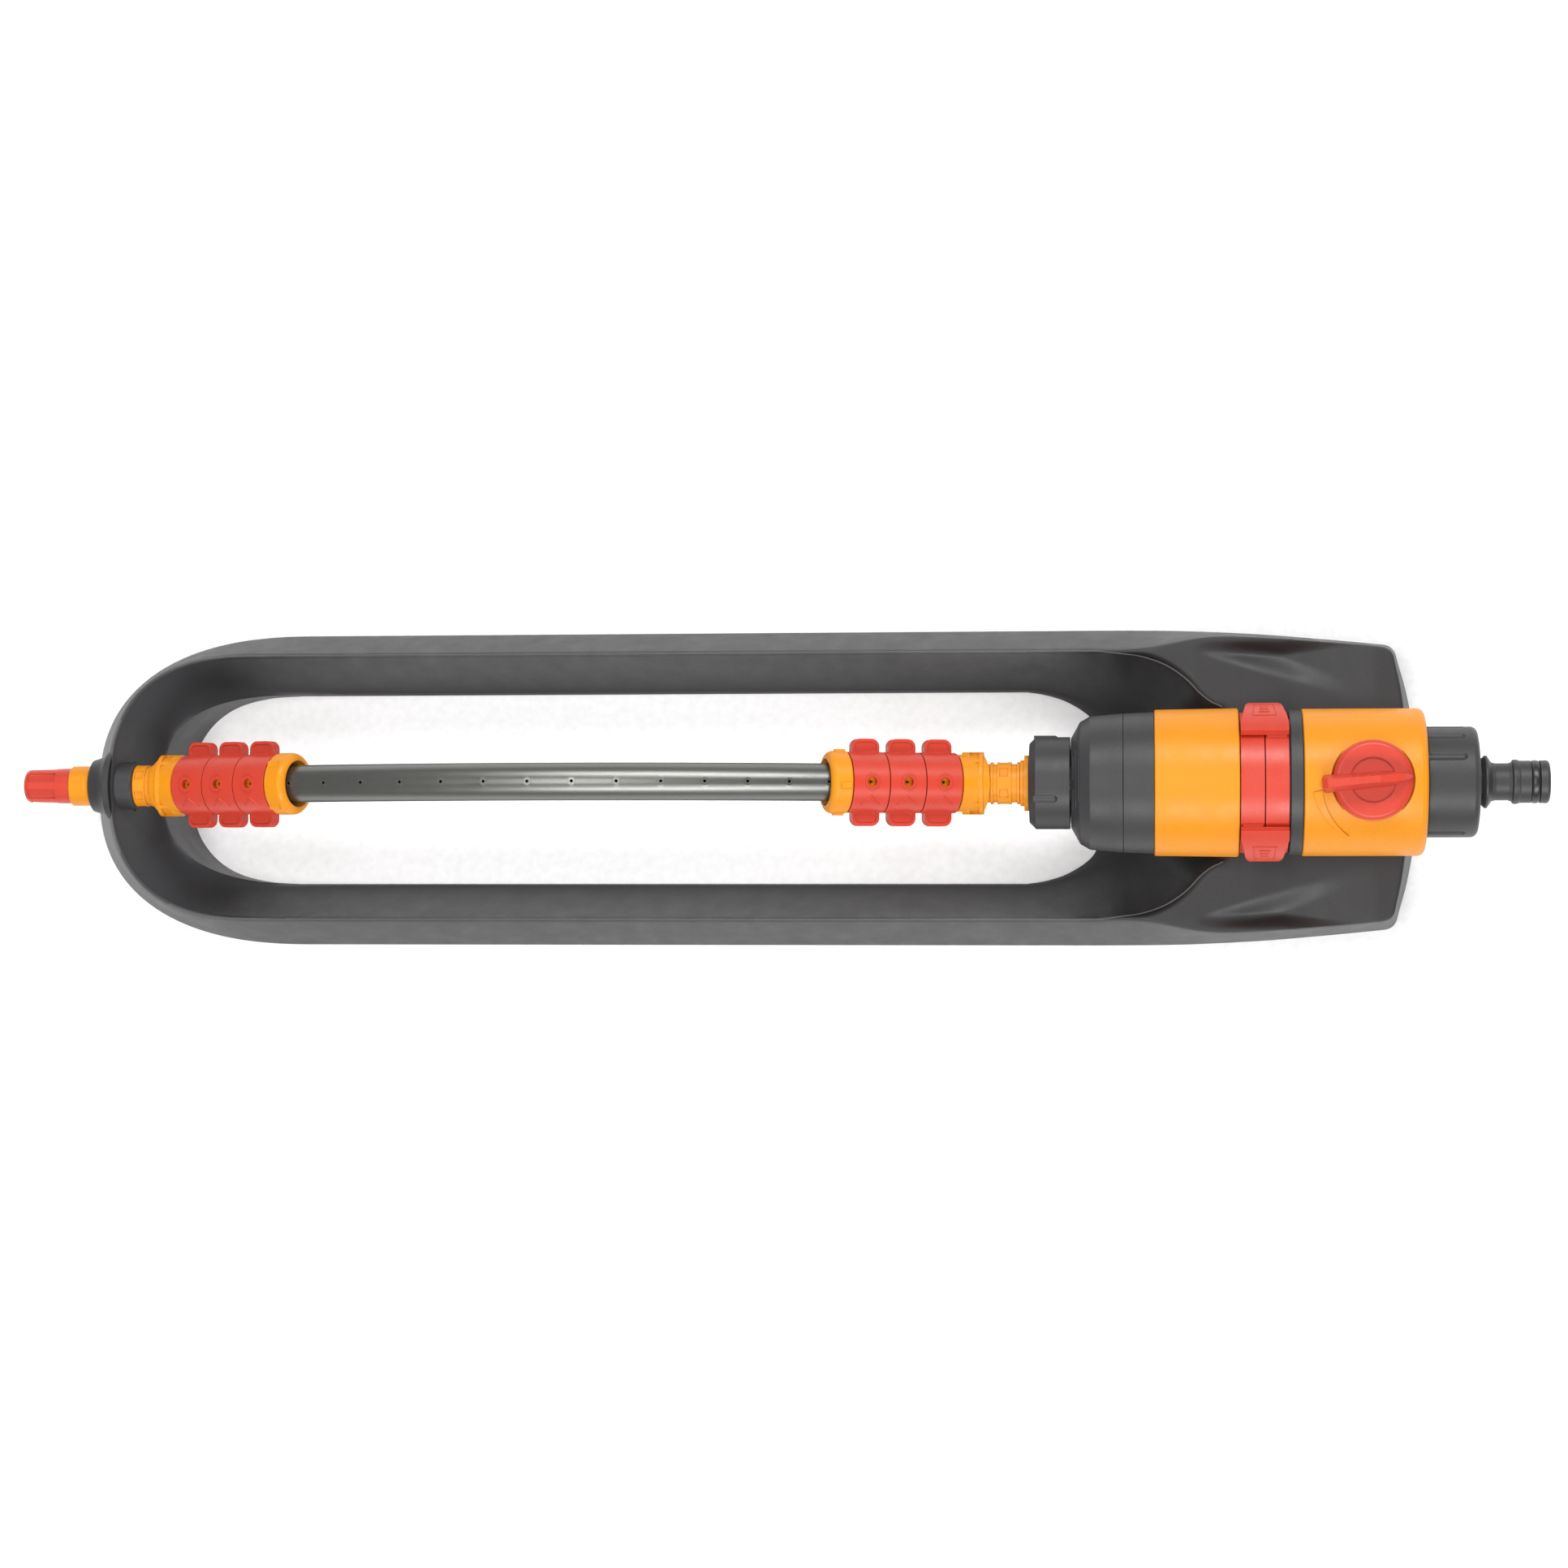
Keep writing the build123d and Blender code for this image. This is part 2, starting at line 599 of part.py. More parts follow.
def tube_collar(side):
    """Rounded cap ring that holds a tube end on its jet block, with grip nubs."""
    with BuildPart() as collar:
        with BuildSketch(block_plane(side, COLLAR_START)):
            Circle(COLLAR_RADIUS)
        extrude(amount=COLLAR_END - COLLAR_START)
        for rim_s, rounding in ((COLLAR_END, COLLAR_ROUNDING), (COLLAR_START, 0.8)):
            rims = collar.edges().filter_by(GeomType.CIRCLE)
            rims = rims.sort_by_distance(block_plane(side, rim_s).origin)
            fillet(rims[0], rounding)
        with BuildSketch(block_plane(side, COLLAR_START + 0.8)):
            with PolarLocations(COLLAR_RADIUS - 0.7, 4, start_angle=50 if side == LEFT else 83):
                Circle(COLLAR_NUB_RADIUS)
        extrude(amount=4.0)
        with BuildSketch(block_plane(side, COLLAR_START)):
            Circle(BLOCK_RADIUS)
        extrude(amount=TUBE_START - TUBE_TAIL - COLLAR_START, mode=Mode.SUBTRACT)
        with BuildSketch(block_plane(side, COLLAR_START)):
            Circle(TUBE_RADIUS + 0.15)
        extrude(amount=12, mode=Mode.SUBTRACT)
        with BuildSketch(block_plane(side, TUBE_START - TUBE_TAIL)):
            Circle(SEAL_OUTER)
        extrude(amount=SEAL_THICKNESS, mode=Mode.SUBTRACT)
        mouth_start = TUBE_START - TUBE_TAIL + SEAL_THICKNESS + 0.3
        with BuildSketch(block_plane(side, mouth_start)) as mouth_root:
            Circle(TUBE_RADIUS + 0.15)
        with BuildSketch(block_plane(side, COLLAR_END + 0.1)) as mouth_rim:
            Circle(COLLAR_MOUTH)
        loft([mouth_root.sketch, mouth_rim.sketch], mode=Mode.SUBTRACT)
    return collar


def tube_seal(side):
    """Flat sealing ring round a tube end."""
    with BuildPart() as seal:
        with BuildSketch(block_plane(side, TUBE_START - TUBE_TAIL)):
            Circle(SEAL_OUTER)
            Circle(TUBE_RADIUS, mode=Mode.SUBTRACT)
        extrude(amount=SEAL_THICKNESS)
    return seal


for side, side_name in ((LEFT, "left"), (RIGHT, "right")):
    keep(tube_collar(side), f"{side_name}_tube_collar")
    keep(tube_seal(side), f"{side_name}_tube_seal")

with BuildPart() as front_end_sleeve:
    turn([
        (END_SLEEVE_X, JOURNAL_RADIUS), (END_SLEEVE_X, 7.2), (END_SLEEVE_X + 0.5, 7.6),
        (BOSS_FACE_X - 0.8, 7.6), (BOSS_FACE_X - 0.4, 7.2), (BOSS_FACE_X - 0.4, JOURNAL_RADIUS),
    ])
keep(front_end_sleeve, "front_end_sleeve")

with BuildPart() as cleaning_tool_grip:
    turn([
        (TOOL_TIP_X, 0), (TOOL_TIP_X, 4.8), (TOOL_TIP_X + 0.3, 5.5), (TOOL_TIP_X + 1.0, 6.1),
        (TOOL_TIP_X + 2.2, 6.4),
        (END_SLEEVE_X - 0.2, 6.8), (END_SLEEVE_X - 0.2, TOOL_PLUG_RADIUS),
        (END_SLEEVE_X + 7, TOOL_PLUG_RADIUS), (END_SLEEVE_X + 8, TOOL_PLUG_RADIUS - 0.6),
        (END_SLEEVE_X + 8, 0),
    ])
    with BuildSketch(across(TOOL_TIP_X + 1.8)) as flutes:
        with PolarLocations(TOOL_FLUTE_FLOOR + 2, TOOL_FLUTES):
            RectangleRounded(4, 3.7, 0.5)
    extrude(flutes.sketch, amount=TOOL_FLUTE_LENGTH, mode=Mode.SUBTRACT)
    tube_run(END_SLEEVE_X + 2, END_SLEEVE_X + 8, NEEDLE_RADIUS, mode=Mode.SUBTRACT)
keep(cleaning_tool_grip, "cleaning_tool_grip")

with BuildPart() as cleaning_needle:
    tube_run(END_SLEEVE_X + 2, NEEDLE_END_X, NEEDLE_RADIUS)
keep(cleaning_needle, "cleaning_needle")


# ---------------------------------------------------------------- output shaft and nut
with BuildPart() as output_nut:
    turn([
        (NUT_X, 8.6), (NUT_X, NUT_RADIUS - 2.4), (NUT_X + 2.4, NUT_RADIUS),
        (NUT_X + NUT_LENGTH, NUT_RADIUS), (NUT_X + NUT_LENGTH, NUT_RADIUS - 2.2),
        (NUT_X + 2.2, NUT_RADIUS - 2.2), (NUT_X + 2.2, 8.6),
    ])
    with BuildSketch(across(NUT_X + 1.6)) as nut_ribs:
        with PolarLocations(NUT_RADIUS - 0.6, 3, start_angle=NUT_RIB_ANGLE):
            Circle(NUT_RIB_RADIUS)
    extrude(nut_ribs.sketch, amount=NUT_RIB_LENGTH)
    for turn_angle in (0, 120, 240):
        rib_angle = radians(NUT_RIB_ANGLE + turn_angle)
        rib_y = (NUT_RADIUS - 0.6) * cos(rib_angle)
        rib_z = AXIS_HEIGHT + (NUT_RADIUS - 0.6) * sin(rib_angle)
        with Locations((NUT_X + 1.6 + NUT_RIB_LENGTH, rib_y, rib_z)):
            Sphere(NUT_RIB_RADIUS)
keep(output_nut, "output_nut")

with BuildPart() as nut_gasket:
    tube_run(NUT_X + 4.4, NUT_X + 6.0, FLANGE_RADIUS, BLOCK_BORE + 0.6)
keep(nut_gasket, "nut_gasket")

SHAFT_FLANGE_X = NUT_X + 6.0
with BuildPart() as output_shaft:
    tube_run(SHAFT_FLANGE_X, SHAFT_FLANGE_X + 4.0, NUT_RADIUS - 2.2)
    tube_run(SHAFT_FLANGE_X, LAYER_1_X + GEAR_WIDTH, JOURNAL_RADIUS)
    tube_run(SHAFT_FLANGE_X, LAYER_1_X + GEAR_WIDTH - 2, BLOCK_BORE, mode=Mode.SUBTRACT)
    with Locations((126, 0, AXIS_HEIGHT)):
        Cylinder(2.0, 30, rotation=(90, 0, 0), mode=Mode.SUBTRACT)
keep(output_shaft, "output_shaft")


# ---------------------------------------------------------------- gears
def roll_angle(radius, base_radius):
    """Involute function at a radius: the angle that the flank has swept there."""
    pressure = acos(min(base_radius / radius, 1.0))
    return tan(pressure) - pressure


def gear_sketch(plane, teeth, centre, phase):
    """Involute gear outline; phase is the angle of the first tooth's centre line, degrees."""
    pitch = MODULE * teeth / 2
    base = pitch * cos(radians(PRESSURE_ANGLE))
    tip = pitch + ADDENDUM * MODULE
    root = pitch - DEDENDUM * MODULE
    pitch_half = pi / (2 * teeth) - BACKLASH / (2 * pitch)
    start = max(base, root)
    flank = []
    for step in range(5):
        radius = start + (tip - start) * step / 4
        angle = pitch_half + roll_angle(pitch, base) - roll_angle(radius, base)
        flank.append((radius * cos(angle), radius * sin(angle)))
    foot_angle = pitch_half + roll_angle(pitch, base)
    foot = ((root - 0.1) * cos(foot_angle), (root - 0.1) * sin(foot_angle))
    with BuildSketch(plane) as outline:
        with Locations(centre):
            Circle(root)
            with PolarLocations(0, teeth, start_angle=phase):
                add(tooth_face([foot, flank[0]], flank))
    return outline.sketch


def tooth_face(foot, flank):
    """One tooth, symmetric about the local x axis, with spline flanks and a flat tip."""
    with BuildSketch() as tooth:
        with BuildLine():
            for sign in (1, -1):
                Line((foot[0][0], sign * foot[0][1]), (foot[1][0], sign * foot[1][1]))
                Spline(*[(x, sign * y) for x, y in flank])
            Line(flank[-1], (flank[-1][0], -flank[-1][1]))
            Line(foot[0], (foot[0][0], -foot[0][1]))
        make_face()
    return tooth.sketch


def direction(start, end):
    """Angle of the line from one pin to another, degrees."""
    from_start = Vector(end[0] - start[0], end[1] - start[1], 0)
    turn_angle = degrees(acos(from_start.X / from_start.length))
    return turn_angle if from_start.Y >= 0 else -turn_angle


def mesh_phase(driver_phase, driver_teeth, driver, teeth, driven):
    """Phase that puts a gap of the driven gear opposite a tooth of its driver."""
    line = direction(driver, driven)
    offset_on_driver = line - driver_phase
    return line + 180 + 180 / teeth + offset_on_driver * driver_teeth / teeth


CENTRE = (0.0, 0.0)
OUTPUT_PHASE = direction(CENTRE, FIRST_PIN)
FIRST_PINION_PHASE = mesh_phase(OUTPUT_PHASE, OUTPUT_TEETH, CENTRE, PINION_TEETH, FIRST_PIN)
FIRST_WHEEL_PHASE = direction(FIRST_PIN, SECOND_PIN)
SECOND_PINION_PHASE = mesh_phase(
    FIRST_WHEEL_PHASE, WHEEL_TEETH, FIRST_PIN, PINION_TEETH, SECOND_PIN
)
SECOND_WHEEL_PHASE = direction(SECOND_PIN, CENTRE)
TURBINE_PHASE = mesh_phase(SECOND_WHEEL_PHASE, WHEEL_TEETH, SECOND_PIN, PINION_TEETH, CENTRE)

with BuildPart() as output_gear:
    extrude(gear_sketch(across(LAYER_1_X), OUTPUT_TEETH, CENTRE, OUTPUT_PHASE), amount=GEAR_WIDTH)
    tube_run(LAYER_1_X - 1, LAYER_1_X + GEAR_WIDTH + 1, JOURNAL_RADIUS, mode=Mode.SUBTRACT)
keep(output_gear, "output_gear")


def compound_gear(pinion_x, wheel_x, centre, pinion_phase, wheel_phase):
    """A pinion and a wheel in one moulding, running on a pin."""
    with BuildPart() as gear:
        pinion = gear_sketch(across(pinion_x), PINION_TEETH, centre, pinion_phase)
        extrude(pinion, amount=wheel_x - pinion_x)
        extrude(gear_sketch(across(wheel_x), WHEEL_TEETH, centre, wheel_phase), amount=GEAR_WIDTH)
        with BuildSketch(across(pinion_x)) as bore:
            with Locations(centre):
                Circle(PIN_RADIUS + RUN_CLEARANCE)
        extrude(bore.sketch, amount=30, mode=Mode.SUBTRACT)
    return gear


first_compound_gear = compound_gear(
    LAYER_1_X, LAYER_2_X, FIRST_PIN, FIRST_PINION_PHASE, FIRST_WHEEL_PHASE
)
keep(first_compound_gear, "first_compound_gear")
second_compound_gear = compound_gear(
    LAYER_2_X, LAYER_3_X, SECOND_PIN, SECOND_PINION_PHASE, SECOND_WHEEL_PHASE
)
keep(second_compound_gear, "second_compound_gear")


def pin(x0, x1, centre, radius, mode=Mode.ADD):
    """A round pin parallel to the main axis."""
    with BuildSketch(across(x0)) as section:
        with Locations(centre):
            Circle(radius)
    extrude(section.sketch, amount=x1 - x0, mode=mode)


with BuildPart() as gear_pins:
    pin(PLATE_X, REAR_PLATE_X + PLATE_THICKNESS, FIRST_PIN, PIN_RADIUS)
    pin(MID_PLATE_X, REAR_PLATE_X + PLATE_THICKNESS, SECOND_PIN, PIN_RADIUS)
keep(gear_pins, "gear_pins")

REVERSER_CENTRE = (-REVERSER_DISTANCE * sin(radians(20)), REVERSER_DISTANCE * cos(radians(20)))


def gear_plate(x, holes):
    """Bearing plate across the gearbox; holes is a list of (centre, radius)."""
    with BuildPart() as plate:
        tube_run(x, x + PLATE_THICKNESS, GEARBOX_RADIUS)
        for centre, radius in holes:
            pin(x - 1, x + PLATE_THICKNESS + 1, centre, radius, mode=Mode.SUBTRACT)
    return plate


front_gear_plate = gear_plate(
    PLATE_X, [(CENTRE, JOURNAL_RADIUS + RUN_CLEARANCE), (FIRST_PIN, PIN_RADIUS)]
)
keep(front_gear_plate, "front_gear_plate")
middle_gear_plate = gear_plate(
    MID_PLATE_X, [(FIRST_PIN, PITCH_PINION + 1.2), (SECOND_PIN, PIN_RADIUS)]
)
keep(middle_gear_plate, "middle_gear_plate")
rear_gear_plate = gear_plate(
    REAR_PLATE_X,
    [
        (CENTRE, SHAFT_RADIUS + RUN_CLEARANCE), (FIRST_PIN, PIN_RADIUS),
        (SECOND_PIN, PIN_RADIUS), (REVERSER_CENTRE, PIN_RADIUS + RUN_CLEARANCE),
    ],
)
keep(rear_gear_plate, "rear_gear_plate")


# ---------------------------------------------------------------- turbine and reverser
with BuildPart() as turbine_shaft:
    tube_run(LAYER_3_X, STATOR_X + STATOR_THICKNESS, SHAFT_RADIUS)
keep(turbine_shaft, "turbine_shaft")

with BuildPart() as turbine_pinion:
    pinion_outline = gear_sketch(across(LAYER_3_X), PINION_TEETH, CENTRE, TURBINE_PHASE)
    extrude(pinion_outline, amount=GEAR_WIDTH)
    tube_run(LAYER_3_X - 1, LAYER_3_X + GEAR_WIDTH + 1, SHAFT_RADIUS, mode=Mode.SUBTRACT)
keep(turbine_pinion, "turbine_pinion")

with BuildPart() as turbine_rotor:
    tube_run(ROTOR_X, ROTOR_X + ROTOR_WIDTH, 5.0)
    with BuildSketch(across(ROTOR_X)) as blades:
        with PolarLocations(10.0, ROTOR_BLADES):
            Rectangle(13.0, 1.4)
    extrude(blades.sketch, amount=ROTOR_WIDTH)
    tube_run(ROTOR_X + ROTOR_WIDTH / 2 - 0.7, ROTOR_X + ROTOR_WIDTH / 2 + 0.7, 13.0)
    tube_run(ROTOR_X - 1, ROTOR_X + ROTOR_WIDTH + 1, SHAFT_RADIUS, mode=Mode.SUBTRACT)
keep(turbine_rotor, "turbine_rotor")

with BuildPart() as stator:
    tube_run(STATOR_X, STATOR_X + STATOR_THICKNESS, CHAMBER_RADIUS - 0.1)
    tube_run(
        STATOR_X - 1, STATOR_X + STATOR_THICKNESS + 1, SHAFT_RADIUS + RUN_CLEARANCE,
        mode=Mode.SUBTRACT,
    )
    with BuildSketch(across(STATOR_X - 1)) as inlets:
        with PolarLocations(13.0, 6, start_angle=10):
            SlotOverall(5.5, 2.6)
    extrude(inlets.sketch, amount=STATOR_THICKNESS + 2, mode=Mode.SUBTRACT)
    pin(STATOR_X - 1, STATOR_X + 5, REVERSER_CENTRE, PIN_RADIUS + RUN_CLEARANCE, Mode.SUBTRACT)
keep(stator, "stator")

LEVER_X = REAR_PLATE_X + PLATE_THICKNESS + 2.0
DEFLECTOR_X = STATOR_X + STATOR_THICKNESS + 0.6
with BuildPart() as reverser_shaft:
    pin(REAR_PLATE_X, DEFLECTOR_X + 2.2, REVERSER_CENTRE, PIN_RADIUS)
keep(reverser_shaft, "reverser_shaft")


def swing_plate(x, thickness, reach, width):
    """Flat arm clamped on the reverser shaft and pointing at the main axis."""
    angle = direction(REVERSER_CENTRE, CENTRE)
    with BuildPart() as arm:
        with BuildSketch(across(x)) as arm_outline:
            with Locations(REVERSER_CENTRE):
                Circle(2.0)
                with PolarLocations(reach / 2, 1, start_angle=angle):
                    Rectangle(reach, width)
                with PolarLocations(reach, 1, start_angle=angle):
                    Circle(width / 2)
                Circle(PIN_RADIUS, mode=Mode.SUBTRACT)
        extrude(arm_outline.sketch, amount=thickness)
    return arm


trip_lever = swing_plate(LEVER_X, 2.0, 9.0, 3.0)
keep(trip_lever, "trip_lever")
flow_deflector = swing_plate(DEFLECTOR_X, 2.0, 8.0, 3.6)
keep(flow_deflector, "flow_deflector")

with BuildPart() as over_centre_spring:
    with BuildSketch(across(LEVER_X + 2.1)) as spring_outline:
        with Locations((0, 7.8)):
            Circle(5.2)
            Circle(4.6, mode=Mode.SUBTRACT)
            with Locations((4.9, 0)):
                Rectangle(3.0, 3.4, mode=Mode.SUBTRACT)
    extrude(spring_outline.sketch, amount=1.6)
keep(over_centre_spring, "over_centre_spring")


# ---------------------------------------------------------------- motor casing
def casing_feet(feet, bottom_z, top_z):
    """Screw feet that reach down from a casing to the sled."""
    with Locations(*[(x, y, bottom_z) for x, y in feet]):
        Cylinder(FOOT_RADIUS, top_z - bottom_z, align=(Align.CENTER, Align.CENTER, Align.MIN))


def screw_pilots(feet):
    with Locations(*[(x, y, FOOT_HEIGHT - 1) for x, y in feet]):
        Cylinder(
            SCREW_RADIUS, SCREW_TIP_HEIGHT - FOOT_HEIGHT + 1,
            align=(Align.CENTER, Align.CENTER, Align.MIN), mode=Mode.SUBTRACT,
        )


with BuildPart() as front_casing:
    turn([
        (CASING_X, 8.0), (CASING_X, 16.8), (CASING_X + 3.3, 22.8), (CASING_X + 7.0, 24.9),
        (SEAM_X - 0.2, CASING_RADIUS), (SEAM_X - 0.2, CASING_RADIUS - WALL),
        (SEAM_X - 5.0, CASING_RADIUS - WALL), (SEAM_X - 5.0, 22.6), (CASING_X + 8.0, 22.4), (CASING_X + 5.0, 20.4), (CASING_X + 2.6, 15.4),
        (CASING_X + 2.6, 10.4), (CASING_X + 9.0, 10.4), (CASING_X + 9.0, 8.0),
    ])
    rim = front_casing.edges().filter_by(GeomType.CIRCLE).filter_by(
        lambda edge: abs(edge.radius - 22.8) < 0.01 or abs(edge.radius - 24.9) < 0.01
    )
    fillet(rim, 1.2)
keep(front_casing, "front_casing")

with BuildPart() as output_bush:
    tube_run(CASING_X, CASING_X + 6.4, 8.0, JOURNAL_RADIUS + RUN_CLEARANCE)
keep(output_bush, "output_bush")

with BuildPart() as shaft_seal:
    tube_run(CASING_X + 6.6, CASING_X + 9.0, 8.0, JOURNAL_RADIUS + RUN_CLEARANCE)
keep(shaft_seal, "shaft_seal")

with BuildPart() as rear_casing:
    turn([
        (SEAM_X - 4.0, GEARBOX_RADIUS + 0.05), (SEAM_X - 4.0, CASING_RADIUS - WALL - 0.05),
        (SEAM_X, CASING_RADIUS - WALL - 0.05), (SEAM_X, CASING_RADIUS),
        (SLEEVE_X - 0.1, CASING_END_RADIUS), (SLEEVE_X - 0.1, 25.1),
        (RANGE_X - 0.2, 25.1), (RANGE_X - 0.2, DRUM_RADIUS),
        (SPACER_X - 0.1, DRUM_RADIUS), (SPACER_X - 0.1, CHAMBER_RADIUS),
        (RANGE_X - 4.0, CHAMBER_RADIUS), (RANGE_X - 4.0, GEARBOX_RADIUS + 0.05),
    ])
    casing_feet(MOTOR_SCREWS[:2], FOOT_HEIGHT, 39.5)
    tube_run(SEAM_X, SLEEVE_X, GEARBOX_RADIUS + 0.05, mode=Mode.SUBTRACT)
    screw_pilots(MOTOR_SCREWS[:2])
keep(rear_casing, "rear_casing")

with BuildPart() as motor_sleeve:
    turn([
        (SLEEVE_X, 25.15), (SLEEVE_X, SLEEVE_RADIUS - 0.4), (SLEEVE_X + 0.4, SLEEVE_RADIUS),
        (RANGE_X - 0.6, SLEEVE_END_RADIUS), (RANGE_X - 0.2, SLEEVE_END_RADIUS - 0.4),
        (RANGE_X - 0.2, 25.15),
    ])
keep(motor_sleeve, "motor_sleeve")


def upright(x):
    """Plane square to the main axis at x, with its local x pointing up."""
    return Plane((x, 0, AXIS_HEIGHT), x_dir=(0, 0, 1), z_dir=(1, 0, 0))


def tab_sector(inner, outer, tab_side):
    """Arc-shaped section of a range tab; positive tab_side lies towards -Y."""
    near = radians(tab_side * TAB_NEAR)
    far = radians(tab_side * (TAB_NEAR + TAB_SPAN))
    with BuildSketch() as face:
        with BuildLine():
            for radius in (inner, outer):
                CenterArc((0, 0), radius, tab_side * TAB_NEAR, tab_side * TAB_SPAN)
            for angle in (near, far):
                Line(
                    (inner * cos(angle), inner * sin(angle)),
                    (outer * cos(angle), outer * sin(angle)),
                )
        make_face()
    return face.sketch


def tab_outline(tab_side):
    """Plan outline of a range tab, narrower at its free end."""
    base_y = -tab_side * RANGE_TAB_RADIUS * sin(radians(TAB_NEAR - 4))
    neck_y = -tab_side * RANGE_TAB_RADIUS * 0.72
    tip_y = -tab_side * RANGE_TAB_RADIUS * sin(radians(TAB_NEAR + TAB_SPAN))
    middle = (RANGE_X + SPACER_X) / 2
    base_half = (SPACER_X - RANGE_X) / 2 - 0.25
    with BuildPart() as prism:
        with BuildSketch(Plane.XY.offset(AXIS_HEIGHT)) as plan:
            with BuildLine():
                Polyline(
                    (middle - base_half, base_y), (middle - base_half, neck_y),
                    (middle - TAB_TIP_HALF, tip_y), (middle + TAB_TIP_HALF, tip_y),
                    (middle + base_half, neck_y), (middle + base_half, base_y), close=True,
                )
            make_face()
            outer_corners = [
                corner for corner in plan.vertices() if abs(corner.Y) > RANGE_TAB_RADIUS * 0.7
            ]
            fillet(outer_corners, TAB_CORNER)
        extrude(amount=RANGE_TAB_RADIUS)
    return prism.part


def range_ring(x0, x1, tab_side):
    """Travel limit ring: a narrow band with a full-width finger tab on one side."""
    tab_x = RANGE_X + 0.2
    tab_length = SPACER_X - RANGE_X - 0.5
    step = RANGE_BAND_RADIUS + 0.3
    with BuildPart() as tab:
        extrude(upright(tab_x) * tab_sector(step, RANGE_TAB_RADIUS, tab_side), amount=tab_length)
        add(tab_outline(tab_side), mode=Mode.INTERSECT)
    with BuildPart() as ring:
        tube_run(x0, x1, RANGE_BAND_RADIUS)
        web = upright(x0 + 0.6) * tab_sector(RANGE_BAND_RADIUS - 1, step + 0.5, tab_side)
        extrude(web, amount=x1 - x0 - 1.2)
        add(tab.part)
        tube_run(x0 - 1, x1 + 1, DRUM_RADIUS + RUN_CLEARANCE, mode=Mode.SUBTRACT)
    return ring


RANGE_MIDDLE_X = (RANGE_X + SPACER_X) / 2
left_range_ring = range_ring(RANGE_X + 0.2, RANGE_MIDDLE_X - 0.2, 1)
keep(left_range_ring, "left_range_ring")
right_range_ring = range_ring(RANGE_MIDDLE_X + 0.2, SPACER_X - 0.3, -1)
keep(right_range_ring, "right_range_ring")

with BuildPart() as spacer_ring:
    turn([
        (SPACER_X, CHAMBER_RADIUS), (SPACER_X, FLOW_RADIUS - 0.8), (SPACER_X + 0.4, FLOW_RADIUS - 0.4),
        (FLOW_X - 0.4, FLOW_RADIUS - 0.3), (FLOW_X, FLOW_RADIUS - 0.6), (FLOW_X, CHAMBER_RADIUS),
    ])
keep(spacer_ring, "spacer_ring")


# ---------------------------------------------------------------- flow control
def upright_cylinder(radius, z0, z1, mode=Mode.ADD):
    """Cylinder about the valve's vertical axis between two heights."""
    with BuildSketch(Plane.XY.offset(z0)) as disc:
        with Locations((KNOB_X, 0)):
            Circle(radius)
    extrude(disc.sketch, amount=z1 - z0, mode=mode)


with BuildPart() as flow_mark:
    with BuildSketch(Plane.XY.offset(AXIS_HEIGHT)) as mark_plan:
        with BuildLine():
            knob_centre = Vector(KNOB_X, 0)
            wide = [
                knob_centre + Vector(r * cos(radians(192)), r * sin(radians(192)))
                for r in (18.6, 22.0)
            ]
            tip = knob_centre + Vector(22.0 * cos(radians(248)), 22.0 * sin(radians(248)))
            middle = [
                knob_centre + Vector(r * cos(radians(221)), r * sin(radians(221)))
                for r in (20.0, 22.0)
            ]
            ThreePointArc(wide[1], middle[1], tip)
            ThreePointArc(wide[0], middle[0], tip)
            Line(wide[0], wide[1])
        make_face()
    extrude(amount=30)
    tube_run(FLOW_X, CAP_X, FLOW_RADIUS + 0.6, mode=Mode.INTERSECT)

with BuildPart() as flow_housing:
    turn([
        (FLOW_X + 0.1, 0), (FLOW_X + 0.1, FLOW_RADIUS - 0.4), (FLOW_X + 0.5, FLOW_RADIUS),
        (CAP_X - 2.6, FLOW_RADIUS), (CAP_X - 1.2, FLOW_RADIUS - 0.5), (CAP_X - 0.4, FLOW_RADIUS - 1.6),
        (CAP_X - 0.2, FLOW_RADIUS - 2.6), (CAP_X - 0.2, 0),
    ])
    upright_cylinder(KNOB_RADIUS + 0.1, AXIS_HEIGHT + 18, KNOB_FLOOR - 0.2)
    add(flow_mark.part)
    tube_run(FLOW_X + WALL, CAP_X - WALL, FLOW_RADIUS - WALL, mode=Mode.SUBTRACT)
    tube_run(BAFFLE_X, BAFFLE_X + 2, FLOW_RADIUS - WALL)
    tube_run(BAFFLE_X + 1, CAP_X - 1, SPIGOT_RADIUS + 2.2)
    tube_run(FLOW_X + 1, KNOB_X, PASSAGE_RADIUS + 2)
    upright_cylinder(BARREL_RADIUS + WALL, AXIS_HEIGHT - 13, AXIS_HEIGHT + 24)
    tube_run(BAFFLE_X + 2, CAP_X + 1, SPIGOT_RADIUS + RUN_CLEARANCE, mode=Mode.SUBTRACT)
    tube_run(FLOW_X - 1, BAFFLE_X + 3, PASSAGE_RADIUS, mode=Mode.SUBTRACT)
    upright_cylinder(
        BARREL_RADIUS + RUN_CLEARANCE, AXIS_HEIGHT - 11.1, AXIS_HEIGHT + 11.1, Mode.SUBTRACT
    )
    upright_cylinder(
        SPINDLE_RADIUS + RUN_CLEARANCE, AXIS_HEIGHT, KNOB_FLOOR + 5, Mode.SUBTRACT
    )
    upright_cylinder(KNOB_RADIUS + 0.4, KNOB_FLOOR - 0.2, KNOB_FLOOR + 5, Mode.SUBTRACT)
    casing_feet(MOTOR_SCREWS[2:], FOOT_HEIGHT, 39.5)
    screw_pilots(MOTOR_SCREWS[2:])
keep(flow_housing, "flow_housing")

